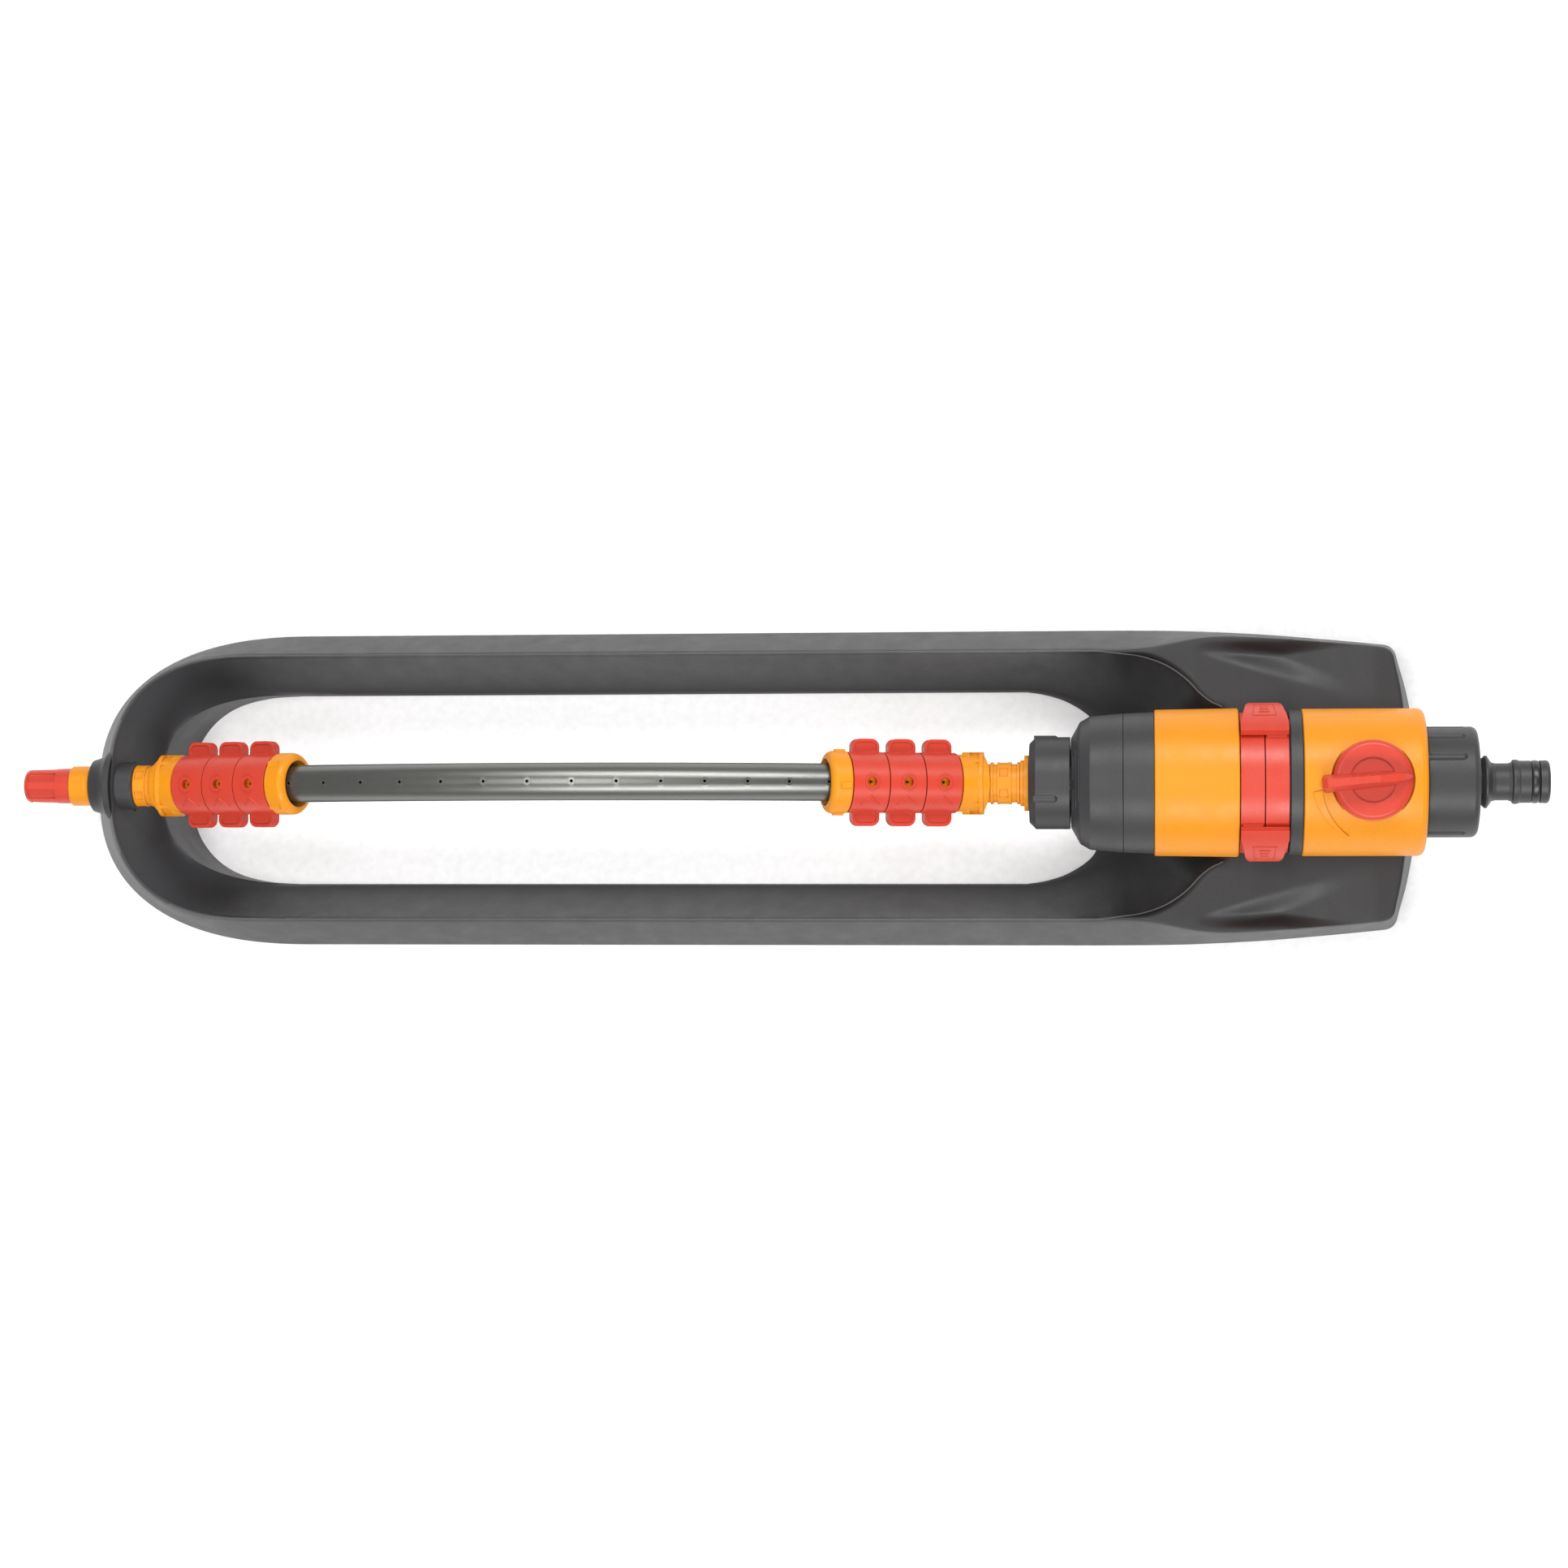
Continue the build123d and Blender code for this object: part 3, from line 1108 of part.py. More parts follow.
KNOB_TOP = KNOB_FLOOR + 3.2
BLADE_TOP = KNOB_TOP + 8.6
BLADE_PLANE = Plane((KNOB_X, 0, 0), x_dir=(cos(radians(BLADE_ANGLE)), sin(radians(BLADE_ANGLE)), 0))
BLADE_DIMPLES = (-9.5, -5.5, -1.5)
BLADE_FOOT = ((-18.4, 2.4), (-17.4, 3.3), (-13.0, 3.3), (8.0, 2.6), (13.4, 0.9), (14.2, 0.3))
BLADE_RIDGE = ((-18.4, 1.2), (-17.4, 1.7), (-13.0, 1.3), (8.0, 1.0), (13.4, 0.5), (14.2, 0.2))


def blade_section(corners, z):
    """Plan outline of the blade at one height, mirrored about its length."""
    with BuildSketch(BLADE_PLANE.offset(z)) as plan:
        with BuildLine():
            near = [(along, -half) for along, half in corners]
            Polyline(*near, *reversed(corners), close=True)
        make_face()
    return plan.sketch


with BuildPart() as blade:
    loft([blade_section(BLADE_FOOT, KNOB_TOP - 0.6), blade_section(BLADE_RIDGE, BLADE_TOP)], ruled=True)
    side_plane = Plane(
        (KNOB_X, 0, 0), x_dir=BLADE_PLANE.x_dir, z_dir=BLADE_PLANE.x_dir.cross(Vector(0, 0, 1))
    )
    with BuildSketch(side_plane) as blade_side:
        with BuildLine():
            Polyline(
                (-18.4, KNOB_TOP - 1), (-18.4, BLADE_TOP - 1.6), (-16.8, BLADE_TOP),
                (2.0, BLADE_TOP - 0.4), (11.0, BLADE_TOP - 3.4), (14.2, KNOB_TOP + 1.6),
                (14.2, KNOB_TOP - 1), close=True,
            )
        make_face()
    extrude(blade_side.sketch, amount=6, both=True, mode=Mode.INTERSECT)
    with BuildSketch(BLADE_PLANE.offset(KNOB_TOP + 4.8)) as dimples:
        with Locations(*((along, side) for along in BLADE_DIMPLES for side in (-1.9, 1.9))):
            Circle(0.5)
    extrude(dimples.sketch, amount=6, mode=Mode.SUBTRACT)

with BuildPart() as flow_knob:
    upright_cylinder(KNOB_RADIUS, KNOB_FLOOR, KNOB_TOP)
    fillet(flow_knob.faces().sort_by(Axis.Z)[-1].edges(), 2.2)
    upright_cylinder(8.3, KNOB_TOP - 0.7, KNOB_TOP + 1, Mode.SUBTRACT)
    add(blade.part)
    upright_cylinder(SPINDLE_RADIUS, AXIS_HEIGHT + 11, KNOB_FLOOR + 1)
    upright_cylinder(SPINDLE_RADIUS + 1, SPINDLE_RING_Z - 0.8, SPINDLE_RING_Z + 0.8, Mode.SUBTRACT)
    upright_cylinder(SPINDLE_RADIUS - 1.2, SPINDLE_RING_Z - 1, SPINDLE_RING_Z + 1)
keep(flow_knob, "flow_knob")

with BuildPart() as spindle_o_ring:
    with Locations((KNOB_X, 0, SPINDLE_RING_Z)):
        Torus(SPINDLE_RADIUS - 0.6, 0.6)
keep(spindle_o_ring, "spindle_o_ring")

with BuildPart() as valve_barrel:
    upright_cylinder(BARREL_RADIUS, AXIS_HEIGHT - 11, AXIS_HEIGHT + 11)
    tube_run(KNOB_X - 10, KNOB_X + 10, PASSAGE_RADIUS, mode=Mode.SUBTRACT)
keep(valve_barrel, "valve_barrel")


# ---------------------------------------------------------------- inlet
with BuildPart() as filter_screen:
    tube_run(FILTER_X, FILTER_X + 11.4, 10.6, 9.8)
    tube_run(FILTER_X, FILTER_X + 1.2, 10.6)
    tube_run(FILTER_X + 10.2, FILTER_X + 11.6, SPIGOT_RADIUS - 2.5, 9.8)
    with BuildSketch(across(FILTER_X + 2.2)) as slots:
        with PolarLocations(10.2, 16):
            Rectangle(2.4, 1.6)
    extrude(slots.sketch, amount=7.0, mode=Mode.SUBTRACT)
keep(filter_screen, "filter_screen")

with BuildPart() as filter_washer:
    tube_run(FILTER_X + 11.7, FILTER_X + 13.3, SPIGOT_RADIUS - 2.5, 9.8)
keep(filter_washer, "filter_washer")

with BuildPart() as filter_cap:
    turn([
        (CAP_X, SPIGOT_RADIUS - 2.4), (CAP_X - 9.0, SPIGOT_RADIUS - 2.4), (CAP_X - 9.0, SPIGOT_RADIUS),
        (CAP_X, SPIGOT_RADIUS), (CAP_X, CAP_RADIUS - 0.5), (CAP_X + 0.5, CAP_RADIUS),
        (CAP_END_X - 2.2, CAP_RADIUS), (CAP_END_X - 1.0, CAP_RADIUS - 0.4),
        (CAP_END_X - 0.2, CAP_RADIUS - 1.4), (CAP_END_X, CAP_RADIUS - 2.6),
        (CAP_END_X, NECK_BORE), (CAP_END_X - WALL, NECK_BORE),
        (CAP_END_X - WALL, SPIGOT_RADIUS - 2.4),
    ])
    for angle in CAP_FLUTE_ANGLES:
        flute_y = (CAP_RADIUS + 1.4) * sin(radians(angle))
        flute_z = (CAP_RADIUS + 1.4) * cos(radians(angle))
        with BuildSketch(across(CAP_X)) as flute:
            with Locations((flute_y, flute_z)):
                Circle(CAP_FLUTE_RADIUS)
        extrude(flute.sketch, amount=CAP_FLUTE_LENGTH, mode=Mode.SUBTRACT)
        with Locations((CAP_X + CAP_FLUTE_LENGTH, flute_y, AXIS_HEIGHT + flute_z)):
            Sphere(CAP_FLUTE_RADIUS, mode=Mode.SUBTRACT)
keep(filter_cap, "filter_cap")

with BuildPart() as hose_connector:
    turn([
        (CAP_END_X - WALL - 2.4, CONNECTOR_BORE), (CAP_END_X - WALL - 2.4, 12.0),
        (CAP_END_X - WALL, 12.0), (CAP_END_X - WALL, NECK_BORE), (CAP_END_X + 1.2, NECK_BORE),
        (264.2, 9.8), (264.9, 9.8), (266.6, 7.3), (268.0, 6.9), (272.6, 6.9), (273.9, 7.3),
        (274.3, 8.1), (275.2, 8.3), (276.4, 8.1), (276.8, 7.85), (280.8, 7.85), (280.8, 6.5),
        (284.2, 6.5), (284.2, 7.9), (286.6, 8.0), (287.3, 7.7), (CONNECTOR_TIP_X, 7.0),
        (CONNECTOR_TIP_X, CONNECTOR_BORE),
    ])
keep(hose_connector, "hose_connector")

with BuildPart() as connector_o_ring:
    with BuildSketch(Plane.XZ) as ring_section:
        with Locations((282.5, AXIS_HEIGHT + 7.28)):
            Ellipse(1.65, 0.76)
    revolve(ring_section.sketch, axis=MAIN_AXIS)
keep(connector_o_ring, "connector_o_ring")
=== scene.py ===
"""Looks for the lawn sprinkler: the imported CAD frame, a detailed moulded base, trim and finishes."""
import json
import math

import bpy
import numpy as np
from mathutils import Matrix, Vector


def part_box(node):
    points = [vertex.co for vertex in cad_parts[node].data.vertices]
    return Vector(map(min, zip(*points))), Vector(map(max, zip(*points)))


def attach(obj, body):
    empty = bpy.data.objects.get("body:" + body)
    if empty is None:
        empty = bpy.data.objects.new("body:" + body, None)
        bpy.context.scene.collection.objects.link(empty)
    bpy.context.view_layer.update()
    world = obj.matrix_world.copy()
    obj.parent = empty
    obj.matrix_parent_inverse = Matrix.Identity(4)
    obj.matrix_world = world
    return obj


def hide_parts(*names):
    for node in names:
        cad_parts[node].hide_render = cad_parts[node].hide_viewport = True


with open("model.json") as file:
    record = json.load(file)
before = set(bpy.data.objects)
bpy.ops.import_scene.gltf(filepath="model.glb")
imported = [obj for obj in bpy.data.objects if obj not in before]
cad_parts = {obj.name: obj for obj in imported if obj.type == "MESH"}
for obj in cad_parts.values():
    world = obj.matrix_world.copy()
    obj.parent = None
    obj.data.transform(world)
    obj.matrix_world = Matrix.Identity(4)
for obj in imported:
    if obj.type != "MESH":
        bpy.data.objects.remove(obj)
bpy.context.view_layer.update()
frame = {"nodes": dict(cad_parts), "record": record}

MM = 0.001
AXIS_Z = 62.0                      # height of the motor and spray arm axis, mm
SLED_LOW, SLED_HIGH = (corner * 1000 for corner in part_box("sled_base"))


# ---------------------------------------------------------------- node helpers
def make(tree, kind, inputs=None, **settings):
    """A shader node with its settings, and its inputs set or linked."""
    node = tree.nodes.new("ShaderNode" + kind)
    for name, value in settings.items():
        setattr(node, name, value)
    for key, value in (inputs or {}).items():
        if isinstance(value, bpy.types.NodeSocket):
            tree.links.new(value, node.inputs[key])
        else:
            node.inputs[key].default_value = value
    return node


def noise(tree, place, scale, detail=3.0, stretch=(1, 1, 1)):
    """Noise in the object's own coordinates, scale in features per metre."""
    mapped = make(tree, "Mapping", {"Vector": place, "Scale": stretch})
    return make(tree, "TexNoise", {
        "Vector": mapped.outputs[0], "Scale": scale, "Detail": detail, "Roughness": 0.55,
    }).outputs[0]


def ranged(tree, value, low, high, out_low, out_high):
    """Value carried from one range to another, clamped."""
    return make(tree, "MapRange", {
        "Value": value, "From Min": low, "From Max": high, "To Min": out_low, "To Max": out_high,
    }).outputs[0]


def tinted(tree, share, under, over):
    """Colour mix of two colours by a share."""
    mix = make(tree, "Mix", {"Factor": share}, data_type="RGBA")
    for key, colour in ((6, under), (7, over)):
        if isinstance(colour, bpy.types.NodeSocket):
            tree.links.new(colour, mix.inputs[key])
        else:
            mix.inputs[key].default_value = (*colour, 1)
    return mix.outputs[2]


def scaled(colour, factor):
    return tuple(min(1.0, c * factor) for c in colour)


def surface(name, colour, rough, *, grain=2200.0, grain_depth=0.2, edge=0.3, edge_light=1.35,
            spread=0.07, shader=None, stretch=(1, 1, 1), mottle=0.05, scuff=0.12):
    """Moulded or drawn surface: mottled colour, grain, scuffs, softened and worn edges."""
    material = bpy.data.materials.new(name)
    material.use_nodes = True
    tree = material.node_tree
    tree.nodes.clear()
    place = make(tree, "TexCoord").outputs["Object"]
    broad = noise(tree, place, 22.0, 4.0)
    fine = noise(tree, place, grain, 2.0, stretch)
    rub = noise(tree, place, 130.0, 5.0, (1.0, 0.35, 0.6))
    soft = make(tree, "Bevel", {"Radius": edge * MM}, samples=4).outputs[0]
    true = make(tree, "NewGeometry").outputs["Normal"]
    facing = make(tree, "VectorMath", {0: soft, 1: true}, operation="DOT_PRODUCT").outputs["Value"]
    worn = ranged(tree, facing, 0.995, 0.90, 0.0, 1.0)
    body = tinted(tree, ranged(tree, broad, 0.3, 0.7, 0.0, 1.0),
                  scaled(colour, 1 - mottle), scaled(colour, 1 + mottle))
    speck = tinted(tree, ranged(tree, fine, 0.35, 0.75, 0.0, 0.25), body, scaled(colour, 0.72))
    marked = tinted(tree, ranged(tree, rub, 0.60, 0.78, 0.0, scuff), speck, scaled(colour, 1.6))
    rubbed = make(tree, "Math", {0: worn, 1: ranged(tree, rub, 0.3, 0.7, 0.25, 0.8)},
                  operation="MULTIPLY").outputs[0]
    final = tinted(tree, rubbed, marked, scaled(colour, edge_light))
    polish = ranged(tree, rub, 0.3, 0.7, rough - spread, rough + spread)
    relief = make(tree, "Bump", {
        "Strength": grain_depth, "Distance": 0.0002, "Height": fine, "Normal": soft,
    }).outputs[0]
    principled = make(tree, "BsdfPrincipled", {
        "Base Color": final, "Roughness": polish, "Normal": relief, **(shader or {}),
    })
    make(tree, "OutputMaterial", {"Surface": principled.outputs[0]})
    return material


# ---------------------------------------------------------------- finishes
FINISHES = {
    "dark_plastic": surface(
        "moulded_grey", (0.0275, 0.027, 0.029), 0.47, grain=1500.0, grain_depth=0.25,
        scuff=0.05, mottle=0.03, spread=0.04, shader={"Specular IOR Level": 0.38}),
    "yellow_plastic": surface(
        "moulded_yellow", (0.64, 0.225, 0.003), 0.42, grain=1100.0, grain_depth=0.10,
        edge_light=1.15, scuff=0.02, mottle=0.03, shader={"Specular IOR Level": 0.28}),
    "red_plastic": surface(
        "moulded_red", (0.50, 0.040, 0.020), 0.38, grain=1100.0, grain_depth=0.08,
        edge_light=1.25, scuff=0.02, mottle=0.03, shader={"Specular IOR Level": 0.36}),
    "tube_metal": surface(
        "coated_tube", (0.150, 0.152, 0.142), 0.34, grain=1400.0, grain_depth=0.01, edge=0.1,
        stretch=(0.02, 1, 1), edge_light=1.6, scuff=0.0, mottle=0.02, spread=0.01,
        shader={"Metallic": 0.9}),
    "black_rubber": surface(
        "black_rubber", (0.010, 0.010, 0.011), 0.34, grain=2600.0, grain_depth=0.03,
        edge_light=1.5, spread=0.03),
    "steel": surface(
        "bright_steel", (0.50, 0.50, 0.51), 0.24, grain=1800.0, grain_depth=0.12, edge=0.1,
        stretch=(0.05, 1, 1), shader={"Metallic": 1.0}),
    "white_plastic": surface(
        "natural_white", (0.66, 0.65, 0.60), 0.42, grain=1600.0, grain_depth=0.12,
        edge_light=1.05),
}


SLED_FINISH = surface(
    "moulded_sled", (0.0265, 0.026, 0.0285), 0.47, grain=1500.0, grain_depth=0.25,
    scuff=0.05, mottle=0.03, spread=0.04, shader={"Specular IOR Level": 0.36})
# Lighter finish for the crest beads: a painted highlight along the sled's crest, not wear.
CREST_HIGHLIGHT_FINISH = surface(
    "crest_painted_highlight", (0.060, 0.059, 0.061), 0.42, grain=1500.0, grain_depth=0.2, scuff=0.1,
    shader={"Specular IOR Level": 0.4})
TUBE_LIKE = ("tube_jets",)


def slot_of_node():
    """Material slot of every CAD node, from the record's sub-parts."""
    return {part["node"]: part["material_slot"] for part in frame["record"]["subparts"]}


# ---------------------------------------------------------------- mesh helpers
def add_mesh(name, points, faces, body, finish, smooth=True, auto_angle=None):
    """A mesh piece, its points in millimetres in the row frame, riding on a body."""
    mesh = bpy.data.meshes.new(name)
    mesh.from_pydata([tuple(c * MM for c in p) for p in points], [], faces)
    mesh.validate()
    mesh.update()
    if smooth:
        mesh.polygons.foreach_set("use_smooth", [True] * len(mesh.polygons))
    piece = bpy.data.objects.new(name, mesh)
    bpy.context.scene.collection.objects.link(piece)
    if auto_angle is not None:
        mesh.set_sharp_from_angle(angle=math.radians(auto_angle))
    mesh.materials.append(FINISHES[finish])
    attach(piece, body)
    return piece


def curve_through(points, count):
    """Points at even steps along a Catmull-Rom curve through the given points."""
    p = np.array(points, float)
    ends = np.vstack([2 * p[0] - p[1], p, 2 * p[-1] - p[-2]])
    fine = []
    for a, b, c, d in zip(ends, ends[1:], ends[2:], ends[3:]):
        for t in np.linspace(0, 1, 24, endpoint=False):
            fine.append(0.5 * (2 * b + (c - a) * t + (2 * a - 5 * b + 4 * c - d) * t**2
                               + (3 * b - a - 3 * c + d) * t**3))
    fine.append(p[-1])
    return even(np.array(fine), count)


def lengths_along(line):
    """Length from the start of a line to each of its points."""
    return np.concatenate([[0], np.cumsum(np.linalg.norm(np.diff(line, axis=0), axis=1))])


def even(points, count, crowd=None):
    """The same line with count points at even (or given) shares of its length."""
    along = lengths_along(points)
    shares = np.linspace(0, 1, count) if crowd is None else crowd
    return np.stack([np.interp(shares * along[-1], along, points[:, k]) for k in (0, 1)], axis=1)


def superellipse(centre_x, length, half, power, steps=400):
    """Quarter of a superellipse nose, from its tip on y = 0 to its side."""
    angle = np.linspace(0, math.pi / 2, steps)
    return np.stack([centre_x - length * np.cos(angle) ** (2 / power),
                     half * np.sin(angle) ** (2 / power)], axis=1)


def joined(*runs):
    """Runs of points set end to end, without their shared points."""
    return np.vstack([runs[0]] + [run[1:] for run in runs[1:]])


def soft_min(a, b, reach):
    """Smaller of two heights, blended where they are within reach of each other."""
    share = np.clip(reach - np.abs(a - b), 0, None) / reach
    return np.minimum(a, b) - share * share * reach / 4


def step_up(value, width):
    """0 below zero, 1 above width, smooth between."""
    t = np.clip(value / width, 0, 1)
    return t * t * (3 - 2 * t)


# ---------------------------------------------------------------- sled base
HOLE_HALF = 37.5                   # half width of the opening
DECK_Z = 42.0
CREST_HALF = 51.0                  # half width between the rail crests
RAIL_CREST = 39.6
HOOD_LIP_Z = 43.0
SLED_SKIN = 3.0
TROUGH_R = 28.6                    # cradle under the motor
POCKET_R = 10.6                    # pocket round the arm's neck
POCKET_X = -247.4

# stations: nose, rail, hole corner, rear flank with its corner, rear edge
NOSE_N, RAIL_N, CORNER_N, FLANK_N, REAR_N = 150, 150, 70, 40, 30


def ground_line():
    """Plan outline of the sled on the ground, y positive, from the nose to the rear."""
    nose = superellipse(-190.0, -190.0 - SLED_LOW.x, SLED_HIGH.y, 2.43)
    rail = np.array([(-190.0, SLED_HIGH.y), (98.0, SLED_HIGH.y)])
    flank = curve_through([(98, 61.5), (125, 61.5), (155, 61.1), (185, 59.6), (212, 57.3)], 200)
    turn = curve_through([(212, 57.3), (228, 55.7), (233.5, 54.9), (236.2, 52.6), (237.6, 48)], 90)
    rear = curve_through([(237.6, 48), (240.8, 36), (243.9, 18), (SLED_HIGH.x, 0)], 60)
    return nose, rail, flank, turn, rear


def top_line():
    """Plan line of the sled's outer crest, in the same runs."""
    nose = superellipse(-200.0, 52.0, CREST_HALF, 3.1)
    rail = np.array([(-200.0, CREST_HALF), (98.0, CREST_HALF)])
    flank = curve_through([(98, 51), (122, 51.1), (140, 52.2), (158, 55.2), (170, 55.9),
                           (190, 54.9), (210, 53.3)], 200)
    turn = curve_through([(210, 53.3), (224, 52.0), (229.8, 51.1), (232.4, 48.8), (233.4, 45)], 90)
    rear = curve_through([(233.4, 45), (235.6, 34), (237.6, 17), (238.4, 0)], 60)
    return nose, rail, flank, turn, rear


def inner_line():
    """Plan line of the opening's lip, in the same runs."""
    nose = curve_through([(-240.0, 0), (-239.7, 6), (-238.6, 12.7), (-235.4, 20.6), (-229, 28.2),
                          (-220, 33.6), (-208, 36.6), (-195, 37.5)], 400)
    rail = np.array([(-195.0, HOLE_HALF), (94.0, HOLE_HALF)])
    corner = curve_through([(94, 37.5), (101, 36.4), (109, 33.9), (116.6, 29.4), (120.6, 25),
                            (121.5, 20)], 120)
    flank = np.array([(121.5, 20.0), (121.5, 12.0)])
    rear = np.array([(121.5, 12.0), (121.5, 0.0)])
    return nose, rail, corner, flank, rear


def crease_line():
    """Line where the bowl behind the opening starts to fall, joined to the rail crest."""
    behind = curve_through([(122, 50.9), (130.3, 49.9), (137.6, 48.9), (144.9, 46.6),
                            (150.6, 43.6), (156.2, 39.2), (160.2, 34.8), (164.6, 31.2),
                            (169.6, 28.4), (173.5, 20), (175, 10), (175.4, 0)], 300)
    return joined(superellipse(-200.0, 52.0, CREST_HALF, 3.1),
                  np.array([(-200.0, CREST_HALF), (122.0, 50.9)]), behind)


CREST_LENGTHS = (0, 16, 23.2, 32.5, 48.2, 66.7, 83.7, 105, 140, 420, 440, 462, 800)
CREST_HEIGHTS = (74.8, 71.6, 68, 62.6, 51.5, 44.6, 41.2, 40.2, RAIL_CREST, RAIL_CREST, 41.0,
                 43.4, 43.4)
LIP_LENGTHS = (0, 21, 31, 44, 60, 80, 110, 800)
LIP_HEIGHTS = (HOOD_LIP_Z, HOOD_LIP_Z, 37, 24, 12, 5, 2.5, 2.5)


def smoothed(values, passes=30):
    """A row of station values with its kinks rounded off."""
    for _ in range(passes):
        inner = (values[:-2] + 2 * values[1:-1] + values[2:]) / 4
        values = np.concatenate([values[:1], inner, values[-1:]])
    return values


class Line:
    """A plan curve: distance, side and a height carried along it."""

    def __init__(self, line, lengths, heights):
        self.line = even(line, 1100)
        along = lengths_along(self.line)
        self.height = smoothed(np.interp(along, lengths, heights))

    def near(self, x, y):
        """Signed distance (positive outside) and the height of the nearest point."""
        far, level = np.empty(x.size), np.empty(x.size)
        a, b = self.line[:-1], self.line[1:]
        edge = b - a
        size = (edge**2).sum(1)
        for start in range(0, x.size, 4000):
            part = slice(start, start + 4000)
            px, py = x[part, None], y[part, None]
            t = np.clip(((px - a[:, 0]) * edge[:, 0] + (py - a[:, 1]) * edge[:, 1]) / size, 0, 1)
            dx = px - (a[:, 0] + t * edge[:, 0])
            dy = py - (a[:, 1] + t * edge[:, 1])
            gap = dx * dx + dy * dy
            best = gap.argmin(1)
            row = np.arange(best.size)
            side = edge[best, 0] * dy[row, best] - edge[best, 1] * dx[row, best]
            far[part] = np.sqrt(gap[row, best]) * np.where(side >= 0, 1, -1)
            share = t[row, best]
            level[part] = self.height[best] * (1 - share) + self.height[best + 1] * share
        return far, level


HOLLOW_CREASE = ((158.6, 51.2), (159.3, 49.9), (161.4, 48.4), (168.7, 45.9), (177.5, 43.1),
                 (189.4, 39.6), (200.3, 36.2), (211.4, 32.5), (230, 26.5))
HOLLOW_RIM = ((158.6, 51.2), (159.6, 52.9), (161.6, 53.9), (166, 54.7), (176, 55.1), (190, 55.2),
              (230, 60))
HOLLOW_DEPTH = ((150, 4.6), (178, 4.6), (195, 3.6), (212, 1.4), (226, 0), (260, 0))


def hollow(x, y):
    """Depth of the leaf-shaped hollow in the deck."""
    crease = np.interp(x, *np.array(HOLLOW_CREASE).T)
    rim = np.interp(x, *np.array(HOLLOW_RIM).T)
    depth = np.interp(x, *np.array(HOLLOW_DEPTH).T)
    inside = step_up((y - crease) * 0.95, 10.0)
    outside = step_up(rim - y, 7.0)
    return np.where(x > HOLLOW_CREASE[0][0], depth * inside * outside, 0)


class Sled:
    """Heights of the sled's skin over a plan position, with y taken positive."""

    def __init__(self):
        self.ground = Line(joined(*ground_line()), (0, 1), (0, 0))
        self.top = Line(joined(*top_line()), CREST_LENGTHS, CREST_HEIGHTS)
        self.inner = Line(joined(*inner_line()), LIP_LENGTHS, LIP_HEIGHTS)
        self.crease = Line(crease_line(), CREST_LENGTHS, CREST_HEIGHTS)

    def height(self, x, y, skin=0.0):
        """Top skin, or the underside when a skin thickness is given."""
        wall_gap = self.ground.near(x, y)[0] * -1
        top_gap, top_z = self.top.near(x, y)
        lip_gap, lip_z = self.inner.near(x, y)
        crease_gap, crease_z = self.crease.near(x, y)
        run = np.where(top_gap > 0, np.maximum(wall_gap + top_gap, 3.0),
                       np.maximum(wall_gap - np.abs(top_gap), 3.0))
        share = np.maximum(wall_gap - skin, 0) / run
        wall_z = top_z * np.where(share < 1, share * (1.18 - 0.18 * share), 1 + 0.82 * (share - 1))
        bowl = np.maximum(lip_gap - skin, 0) / np.maximum(lip_gap - crease_gap, 1.0)
        rise = np.where(bowl < 1, np.abs(bowl) ** 1.6, 1 + 1.6 * (bowl - 1))
        bowl_z = lip_z - skin + (crease_z - lip_z + skin) * rise
        z = soft_min(wall_z, bowl_z, 7.0)
        deck_z = np.where(x > 118, DECK_Z - hollow(x, y) - skin, 999.0)
        z = soft_min(z, deck_z, 3.0)
        cradle = AXIS_Z - np.sqrt(np.maximum((TROUGH_R + skin) ** 2 - y * y, 0))
        z = np.where((x > 100) & (y < TROUGH_R + skin), soft_min(z, cradle, 1.2), z)
        pocket = AXIS_Z - np.sqrt(np.maximum((POCKET_R + skin) ** 2 - y * y, 0))
        near_neck = (x > POCKET_X - skin) & (x < -200) & (y < POCKET_R + skin)
        return np.maximum(np.where(near_neck, np.minimum(z, pocket), z), 0)


def sled_stations():
    """Matching points of the ground, top and inner lines, from the nose to the rear."""
    counts = (NOSE_N, RAIL_N, CORNER_N, FLANK_N, REAR_N)
    front = np.linspace(0, 1, NOSE_N) ** 1.25
    rows = []
    for lines in (ground_line(), top_line(), inner_line()):
        runs = [even(run, n, front if k == 0 else None)
                for k, (run, n) in enumerate(zip(lines, counts))]
        rows.append(joined(*runs))
    return rows


def sled_mesh(sled):
    """Closed skin: over the top from the ground line to the lip, then back underneath."""
    ground, top, inner = sled_stations()
    wall = np.linspace(0, 1, 15)[:-1]
    over = np.linspace(0, 1, 64) ** 1.35
    out = (ground - inner) / np.linalg.norm(ground - inner, axis=1)[:, None]
    rows = [ground + (top - ground) * s for s in wall] + [top + (inner - top) * s for s in over]
    plan_top = np.array(rows)
    heel, toe = inner + out * SLED_SKIN, ground - out * SLED_SKIN
    plan_under = np.array([heel + (toe - heel) * s for s in np.linspace(0, 1, 46)])
    z_top = sled.height(plan_top[..., 0].ravel(), plan_top[..., 1].ravel())
    z_under = sled.height(plan_under[..., 0].ravel(), plan_under[..., 1].ravel(), SLED_SKIN)
    z_top = z_top.reshape(plan_top.shape[:2])
    z_under = z_under.reshape(plan_under.shape[:2])
    z_top[0] = 0
    z_under[0] = z_under[-1] = 0
    lip = [(inner, z_top[-1] * s) for s in (0.97, 0.5, 0.0)]
    layers = ([(p, z) for p, z in zip(plan_top, z_top)] + lip
              + [(p, z) for p, z in zip(plan_under, z_under)])
    return grid_piece(layers)


